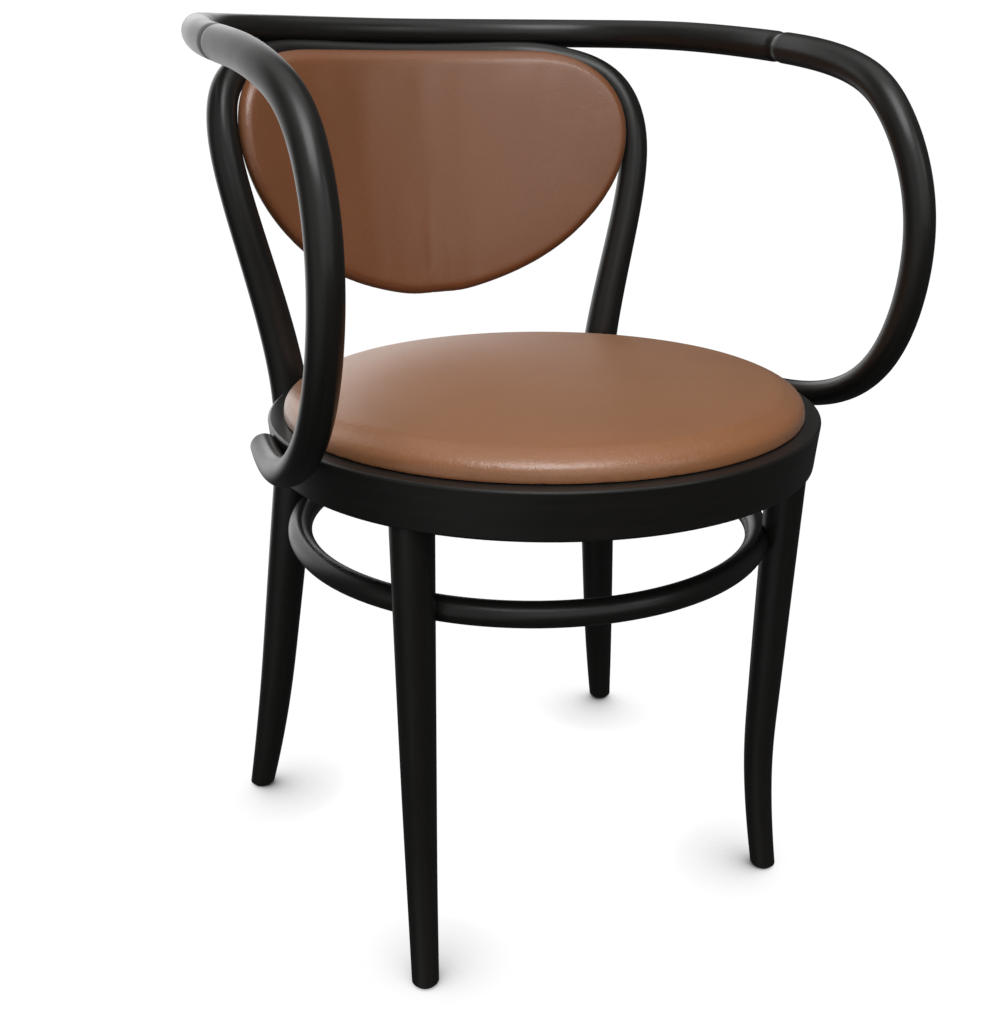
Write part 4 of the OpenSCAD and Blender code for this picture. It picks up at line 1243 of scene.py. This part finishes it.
def axes_of(node):
    """Of each screw of a CAD node: where its head is, which way it points, its length and its head's radius."""
    form = bmesh.new()
    form.from_mesh(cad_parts[node].data)
    bmesh.ops.remove_doubles(form, verts=form.verts, dist=1e-6)
    form.verts.index_update()
    form.verts.ensure_lookup_table()
    # Walked by number, so that the screws come in the same order each time
    seen, found = set(), []
    for first in range(len(form.verts)):
        if first in seen:
            continue
        seen.add(first)
        group, edge = [], [first]
        while edge:
            vertex = form.verts[edge.pop()]
            group.append(vertex.index)
            for link in vertex.link_edges:
                other = link.other_vert(vertex).index
                if other not in seen:
                    seen.add(other)
                    edge.append(other)
        points = np.array([form.verts[k].co for k in sorted(group)])
        middle = points.mean(0)
        along = np.linalg.svd(points - middle)[2][0]
        at = (points - middle) @ along
        ends = [points[at < at.min() + NEAR].mean(0), points[at > at.max() - NEAR].mean(0)]
        long = np.linalg.norm(ends[1] - ends[0])
        along = (ends[1] - ends[0]) / long
        at = (points - ends[0]) @ along
        out = np.linalg.norm((points - ends[0]) - np.outer(at, along), axis=1)
        if at[out > out.max() - NEAR].mean() > long / 2:
            ends.reverse()
            along = -along
        found.append((ends[0], along, float(long), float(out.max())))
    form.free()
    return found


def sinks(node):
    """Cutters for the holes in which a node's screw heads lie."""
    cutters = []
    for start, along, _, head in axes_of(node):
        mesh = bpy.data.meshes.new("sink")
        turned = Vector(along).to_track_quat("Z", "Y").to_matrix().to_4x4()
        middle = Vector(start) - Vector(along) * (SINK_REACH / 2 - SINK_PAST)
        r = head + NEAR

        def work(form):
            bmesh.ops.create_cone(
                form,
                cap_ends=True,
                segments=32,
                radius1=r,
                radius2=r,
                depth=SINK_REACH,
                matrix=Matrix.Translation(middle) @ turned,
            )

        edit(mesh, work)
        cutters.append(add_piece("sink", mesh))
    return cutters


def screw_mesh(long, head):
    """A countersunk wood screw along +Z from its head, with a cross recess and a turned thread."""
    core, shank, start, end = head * CORE_SHARE, head * SHANK_SHARE, long * 0.38, long * 0.9
    turns = [k / 16 for k in range(16)]
    rows = [(head * 0.97, 0.0), (head, 0.15 * MM), (shank, head - shank), (shank, start)]
    loops = [[(r * math.cos(k * math.tau), r * math.sin(k * math.tau), z) for k in turns] for r, z in rows]
    steps = int((end - start) / THREAD_PITCH * 4)
    for i in range(1, steps + 1):
        z, loop = start + (end - start) * i / steps, []
        for k in turns:
            crest = max(0, 1 - abs((z / THREAD_PITCH - k) % 1 - 0.5) * 3.2)
            r = core + (shank - core) * crest
            loop.append((r * math.cos(k * math.tau), r * math.sin(k * math.tau), z))
        loops.append(loop)
    mesh = loops_mesh("screw", loops, (0, 0, 0), (0, 0, long))
    edit(mesh, lambda form: bmesh.ops.recalc_face_normals(form, faces=form.faces[:]))
    screw = add_piece("screw", mesh)
    inside, outside, wide, deep = RECESS_SHARES
    for turn in (0, math.pi / 2):
        cutter = bpy.data.meshes.new("recess")

        def cross(form):
            bmesh.ops.create_cube(form, size=1)
            for vertex in form.verts:
                x, y, z = vertex.co
                vertex.co = (x * head * (inside if z > 0 else outside), y * head * wide, z * head * deep)
            bmesh.ops.rotate(form, verts=form.verts, cent=(0, 0, 0), matrix=Matrix.Rotation(turn, 3, "Z"))

        edit(cutter, cross)
        carve(screw, add_piece("recess", cutter))
    return screw


def placed_tree():
    """Puts one made piece at each point, turned along the point's own directions."""
    name = "Placed along"
    found = bpy.data.node_groups.get(name)
    if found:
        return found
    graph, (places, made, material) = new_tree(
        name, ("Places", "Geometry"), ("Made piece", "Object"), ("Material", "Material")
    )
    piece = graph.node("GeometryNodeObjectInfo", None, {"Object": made}, out=4)
    aim, side = (
        graph.node("GeometryNodeInputNamedAttribute", {"data_type": "FLOAT_VECTOR"}, {"Name": key})
        for key in ("aim", "side")
    )
    align = "FunctionNodeAlignRotationToVector"
    turn = graph.node(align, {"axis": "Z"}, {"Vector": aim})
    turn = graph.node(align, {"axis": "X", "pivot_axis": "Z"}, {"Rotation": turn, "Vector": side})
    set_down = graph.node("GeometryNodeInstanceOnPoints", None, {"Points": places, "Instance": piece, "Rotation": turn})
    set_down = graph.node("GeometryNodeRealizeInstances", None, {"Geometry": set_down})
    set_down = graph.node("GeometryNodeSetMaterial", None, {"Geometry": set_down, "Material": material})
    graph.node("NodeGroupOutput", None, {"Result": set_down})
    return graph.tree


def placed(name, made, places, material):
    """One piece that holds a copy of a made piece at each (place, aim, side). The made piece is used up."""
    mesh = bpy.data.meshes.new(name)
    mesh.from_pydata([tuple(q[0]) for q in places], [], [])
    for key, i in (("aim", 1), ("side", 2)):
        ways = np.array([q[i] for q in places], float)
        mesh.attributes.new(key, "FLOAT_VECTOR", "POINT").data.foreach_set("vector", ways.ravel())
    piece = run_tree(add_piece(name, mesh), placed_tree(), made_piece=made, material=made_of(material))
    bpy.data.objects.remove(made)
    return piece


SCREW_NODES = (
    "seat_board_screws", "arm_end_screws", "rail_screws", "front_leg_screws", "leg_ring_screws", "back_board_screws"
)


class MakeScrews(Making):
    """Makes the wood screws, with their cross recesses and threads"""

    bl_idname = "armchair.screws"
    bl_label = "Make the screws"

    def make(self):
        for node in SCREW_NODES:
            found = axes_of(node)
            places = [(start, along, np.cross(along, (0.3, 0.5, 0.81))) for start, along, _, _ in found]
            screw = screw_mesh(*found[0][2:])
            screws = placed(node.replace("_screws", "_screw_set"), screw, places, "plated_steel")
            finished(screws, node)


ROUND_WIRE = np.linspace(0, math.tau, 6, endpoint=False)


def thread_mesh(long, r):
    """One stitch: a short length of thread whose ends dip into the leather."""
    # Shares: place along the stitch, rise and thickness
    rows = [(-0.5, -0.6, 0.6), (-0.3, 0.3, 1.0), (0.0, 0.55, 1.05), (0.3, 0.3, 1.0), (0.5, -0.6, 0.6)]
    loops = [[(r * w * math.cos(a), r * (rise + w * math.sin(a)), x * long) for a in ROUND_WIRE] for x, rise, w in rows]
    return add_piece("stitch", loops_mesh("stitch", loops, (0, -r * 0.6, -0.52 * long), (0, -r * 0.6, 0.52 * long)))


def staple_mesh():
    """The crown of one staple and the bends into its legs, of flattened wire."""
    half, deep = 5.0 * MM, -0.9 * MM
    side = [(-half, deep), (-4.6 * MM, 0.0), (-3.9 * MM, 0.45 * MM)]
    rows = side + [(-x, z) for x, z in reversed(side)]
    wide, thick = 0.45 * MM, 0.3 * MM
    wire = [[(x, wide * math.cos(a), z + thick * math.sin(a)) for a in ROUND_WIRE] for x, z in rows]
    return add_piece("staple", loops_mesh("staple", wire, (-half, 0, deep), (half, 0, deep)))


def spaced(loop, pitch):
    """Even places along a closed loop, near a pitch: (place, direction) each."""
    closed = np.vstack([loop, loop[:1]])
    run = np.concatenate([[0], np.cumsum(np.linalg.norm(np.diff(closed, axis=0), axis=1))])
    count = int(round(run[-1] / pitch))
    at = np.arange(count) * run[-1] / count
    places = np.stack([np.interp(at, run, closed[:, i]) for i in range(3)], 1)
    ways = np.roll(places, -1, 0) - np.roll(places, 1, 0)
    return list(zip(places, ways / np.linalg.norm(ways, axis=1)[:, None]))


class MakeStitches(Making):
    """Makes the seam that sews the panel to the back of the back pad"""

    bl_idname = "armchair.stitches"
    bl_label = "Make the back seam"

    def make(self):
        s, p = rods(), pads()
        form = BackForm(s, p)
        depth = form.board_back + p.leather_t
        places = spaced(form.loop(SEAM_INSET, 1, depth), p.stitch_pitch)
        outwards = []
        for place, way in places:
            out = np.array([2 * p.back_bow * place[0] / form.w**2, 1.0, -p.back_lean / p.back_h])
            outwards.append((place, way, np.cross(out / np.linalg.norm(out), way)))
        stitch = thread_mesh(p.stitch_pitch * 0.8, THREAD_R)
        seam = placed("back_seam_stitches", stitch, outwards, "waxed_thread")
        finished(seam, None, 60)


class MakeDustCover(Making):
    """Makes the dust cover under the seat, and its staples"""

    bl_idname = "armchair.dust_cover"
    bl_label = "Make the dust cover"

    def make(self):
        centre = Lines(rods()).shift
        low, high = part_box("seat_dust_cover")
        r, top = (high[0] - low[0]) / 2, high[2]
        stapled_r = r - STAPLE_INSET
        staples = int(round(math.tau * stapled_r / pads().staple_pitch))
        turns = np.linspace(0, math.tau, 240, endpoint=False)

        def level(share):
            """The cloth hangs a little between its staples and in the middle."""
            gather = CLOTH_GATHER * (1 - np.abs(np.cos(turns * staples / 2))) * max(0, share - 0.75) * 4
            return top - CLOTH_T - CLOTH_SAG * (1 - share**4) - gather * (1 if share < 1 else 0.4) - CLOTH_DROP

        shares = [i / 16 for i in range(1, 17)]
        under = [ring_points(r * q, centre, level(q), turns) for q in shares]
        over = [loop + (0, 0, CLOTH_T) for loop in reversed(under)]
        loops = [*under, under[-1] + (0, 0, 0.5 * CLOTH_T), *over]
        low_pole = np.array([0, centre, level(0)[0]])
        mesh = loops_mesh("dust_cover_cloth", loops, tuple(low_pole), tuple(low_pole + (0, 0, CLOTH_T)))
        mesh.materials.append(made_of("dark_cloth"))
        cloth = add_piece("dust_cover_cloth", mesh)
        finished(cloth, "seat_dust_cover", 60)
        places = []
        for k in range(staples):
            a = k * math.tau / staples
            slant = a + math.pi / 2 + (0.22 if k % 2 else -0.18)
            place = (stapled_r * math.cos(a), centre + stapled_r * math.sin(a), top - 2 * CLOTH_T - CLOTH_SAG)
            places.append((place, (0, 0, -1), (math.cos(slant), math.sin(slant), 0)))
        made = placed("dust_cover_staples", staple_mesh(), places, "plated_steel")
        finished(made, None, 60)


# Finishes of the CAD nodes that stay visible. Every other node is replaced by a piece made here.
NODE_FINISH = {
    "seat_ring": "ring_beech",
    "seat_board": "plain_wood",
    "arm_dowels": "plain_wood",
    "back_board": "plain_wood",
    "back_board_pins": "plated_steel",
    "rear_leg_bolts": "plated_steel",
    "rear_leg_washers": "plated_steel",
    "rear_leg_sleeves": "yellow_brass",
    "foot_glides": "dark_nylon",
}


class FinishNodes(Making):
    """Gives every carried-over part its finish"""

    bl_idname = "armchair.nodes"
    bl_label = "Finish the carried-over parts"

    def make(self):
        for name, finish_name in NODE_FINISH.items():
            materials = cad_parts[name].data.materials
            materials.clear()
            materials.append(made_of(finish_name))


def area_light(name, power, size, place, target):
    lamp = bpy.data.lights.new(name, "AREA")
    lamp.shape = "RECTANGLE"
    lamp.size, lamp.size_y = size
    lamp.energy = power
    light = bpy.data.objects.new(name, lamp)
    light.location = place
    light.rotation_euler = (Vector(target) - Vector(place)).to_track_quat("-Z", "Y").to_euler()
    bpy.context.scene.collection.objects.link(light)


def towards(turn, rise):
    """The direction turn degrees round from the back, clockwise seen from above, and rise degrees up."""
    turn, rise = math.radians(turn), math.radians(rise)
    return (math.sin(turn) * math.cos(rise), math.cos(turn) * math.cos(rise), math.sin(rise))


# The photograph's size and the middle of its perspective, and the camera's target from the seat ring's middle
PHOTO_W, PHOTO_H, PHOTO_MIDDLE = 1000, 1021, (498.95, 512.8)
CAMERA_TARGET = (-26.2, 30.5, 336.7)
# Lamps: width and height, distance, turn and rise, all seen from a point at this height in the chair's middle
KEY_LAMP, SIDE_LAMP, LIT_HEIGHT = ((1.3, 1.3), 2.3, -155, 63), ((0.35, 0.9), 2.4, 150, 36), 0.45
# The floor's and the dome's radius in metres, their brightness, and how far the test for the painted shade at the feet
# leans outwards
FLOOR_R, DOME_R, WHITE, LEAN = 40, 60, 1.02, 0.9
# Light that comes from everywhere: from below, and what is added above the horizon
ROOM_LOW, ROOM_HIGH = 0.055, 0.035
# Soft panels of the studio: turn and rise of the middle, degrees out to full and to no light, strength, and the turn
# towards which it ends at a sharp edge, if it has one
PANELS = [
    (-8, 12, 17, 42, 1.6, None),
    (-122, 12, 20, 54, 0.45, None),
    (180, 15, 24, 40, 0.88, 145),
    (0, 90, 15, 46, 1.0, None),
    (14, 18, 5, 18, 1.0, None),
]


class MakeStage(Making):
    """Makes the pale floor, the soft lights and the camera"""

    bl_idname = "armchair.stage"
    bl_label = "Make the stage"

    def make(self):
        scene = bpy.context.scene
        s = scene.armchair_stage
        scene.view_settings.view_transform = "Standard"
        self.lay_floor(s)
        self.light_room(s)
        lens = bpy.data.cameras.new("camera")
        lens.sensor_width = 36
        lens.lens = s.lens
        lens.shift_x = (PHOTO_W / 2 - PHOTO_MIDDLE[0]) / PHOTO_H
        lens.shift_y = (PHOTO_MIDDLE[1] - PHOTO_H / 2) / PHOTO_H
        camera = bpy.data.objects.new("camera", lens)
        a, e = s.camera_azimuth, s.camera_elevation
        back = Vector((math.sin(a) * math.cos(e), -math.cos(a) * math.cos(e), math.sin(e)))
        right = Vector((math.cos(a), math.sin(a), 0))
        up = back.cross(right)
        turn = s.camera_roll
        across = right * math.cos(turn) + up * math.sin(turn)
        upward = up * math.cos(turn) - right * math.sin(turn)
        x, y, z = (v * MM for v in CAMERA_TARGET)
        target = Vector((x, y + Lines(rods()).shift, z))
        place = target + back * s.camera_distance
        camera.matrix_world = Matrix.Translation(place) @ Matrix((across, upward, back)).transposed().to_4x4()
        scene.collection.objects.link(camera)
        scene.camera = camera

    def lay_floor(self, s):
        """A white floor that glows, with painted shade at the feet, under a white dome. Neither lights the chair."""
        for name, reach in (("floor", FLOOR_R), ("backdrop", DOME_R)):
            mesh = bpy.data.meshes.new(name)

            def work(form):
                if name == "floor":
                    bmesh.ops.create_circle(form, cap_ends=True, segments=96, radius=reach)
                else:
                    bmesh.ops.create_uvsphere(form, u_segments=64, v_segments=32, radius=reach)

            edit(mesh, work)
            piece = add_piece(name, mesh)
            paint = bpy.data.materials.new("white_" + name)
            paint.use_nodes = True
            paint.node_tree.nodes.clear()
            graph = Graph(paint.node_tree)
            light = WHITE
            if name == "floor":
                # Painted shade: an occlusion test, leant outwards from the chair's middle, darkens the floor's glow
                # near the feet, so that the shade falls inwards
                outwards = graph.vector("NORMALIZE", graph.vector("MULTIPLY", graph.place(), (1, 1, 0)))
                leaning = graph.vector("ADD", graph.vector("MULTIPLY", outwards, (LEAN, LEAN, 0)), (0, 0, 1))
                inputs = {"Distance": s.contact_reach, "Normal": graph.vector("NORMALIZE", leaning)}
                open_sky = graph.node("ShaderNodeAmbientOcclusion", {"samples": 8}, inputs, out=1)
                light = (1 - (1 - open_sky) * s.contact_depth).clamped() * light
            glow = graph.node("ShaderNodeEmission", None, {"Color": tuple(s.floor), "Strength": light})
            graph.node("ShaderNodeOutputMaterial", None, {"Surface": glow})
            mesh.materials.append(paint)
            for ray in ("diffuse", "glossy", "shadow", "transmission"):
                setattr(piece, "visible_" + ray, False)

    def light_room(self, s):
        """Soft panels all round, as a studio has them, a large lamp above the front and a narrow one at the right."""
        world = bpy.data.worlds.new("studio")
        bpy.context.scene.world = world
        world.use_nodes = True
        world.node_tree.nodes.clear()
        graph = Graph(world.node_tree)
        way = graph.node("ShaderNodeTexCoord", out=0)
        height = graph.apart(way)[2]
        light = ROOM_LOW + ROOM_HIGH * height.ramp(-0.4, 0.1)
        for turn, rise, inner, outer, strength, edge in PANELS:
            panel = graph.vector("DOT_PRODUCT", way, towards(turn, rise)).ramp(
                math.cos(math.radians(outer)), math.cos(math.radians(inner))
            )
            if edge is not None:
                past_edge = graph.vector("DOT_PRODUCT", way, towards(edge + 90, 0)).ramp(-0.02, 0.03)
                panel = panel * height.ramp(0.0, 0.1) * past_edge
            light = light + panel * strength
        # Past the floor's edge the camera sees the same white as the floor, and not the panels
        seen = graph.node("ShaderNodeLightPath", out=0)
        backdrop = graph.node("ShaderNodeBackground", None, {"Strength": seen + (1 - seen) * light * s.room})
        graph.node("ShaderNodeOutputWorld", None, {"Surface": backdrop})
        middle = Vector((0, 0, LIT_HEIGHT))
        for name, power, (size, distance, turn, rise) in (("key", s.key, KEY_LAMP), ("side", s.side, SIDE_LAMP)):
            area_light(name, power, size, middle + distance * Vector(towards(turn, rise)), middle)


class ArmchairPanel(bpy.types.Panel):
    """Lists the operators that make the armchair"""

    bl_idname = "VIEW3D_PT_armchair"
    bl_label = "Armchair"
    bl_space_type = "VIEW_3D"
    bl_region_type = "UI"
    bl_category = "Armchair"

    def draw(self, context):
        for step in STEPS:
            self.layout.operator(step.bl_idname)
        for group in GROUPS:
            held = getattr(context.scene, group)
            for name in held.bl_rna.properties.keys():
                if name not in ("rna_type", "name"):
                    self.layout.prop(held, name)


GROUPS = {
    "armchair_rods": ArmchairRods,
    "armchair_pads": ArmchairPads,
    "armchair_finish": ArmchairFinish,
    "armchair_stage": ArmchairStage,
}
STEPS = (
    MakeStage, FinishNodes, MakeBow, MakeHoop, MakeFrontLegs, MakeLegRing, MakeSeatPad, MakeBackPad, MakeBackLiner,
    MakeStitches, MakeDustCover, MakeScrews,
)


def register():
    for name, group in GROUPS.items():
        bpy.utils.register_class(group)
        setattr(bpy.types.Scene, name, bpy.props.PointerProperty(type=group))
    for step in (*STEPS, ArmchairPanel):
        bpy.utils.register_class(step)


def unregister():
    for step in (*STEPS, ArmchairPanel):
        bpy.utils.unregister_class(step)
    for name, group in GROUPS.items():
        delattr(bpy.types.Scene, name)
        bpy.utils.unregister_class(group)


def main():
    register()
    for step in STEPS:
        group, name = step.bl_idname.split(".")
        getattr(getattr(bpy.ops, group), name)()


if __name__ == "__main__":
    main()
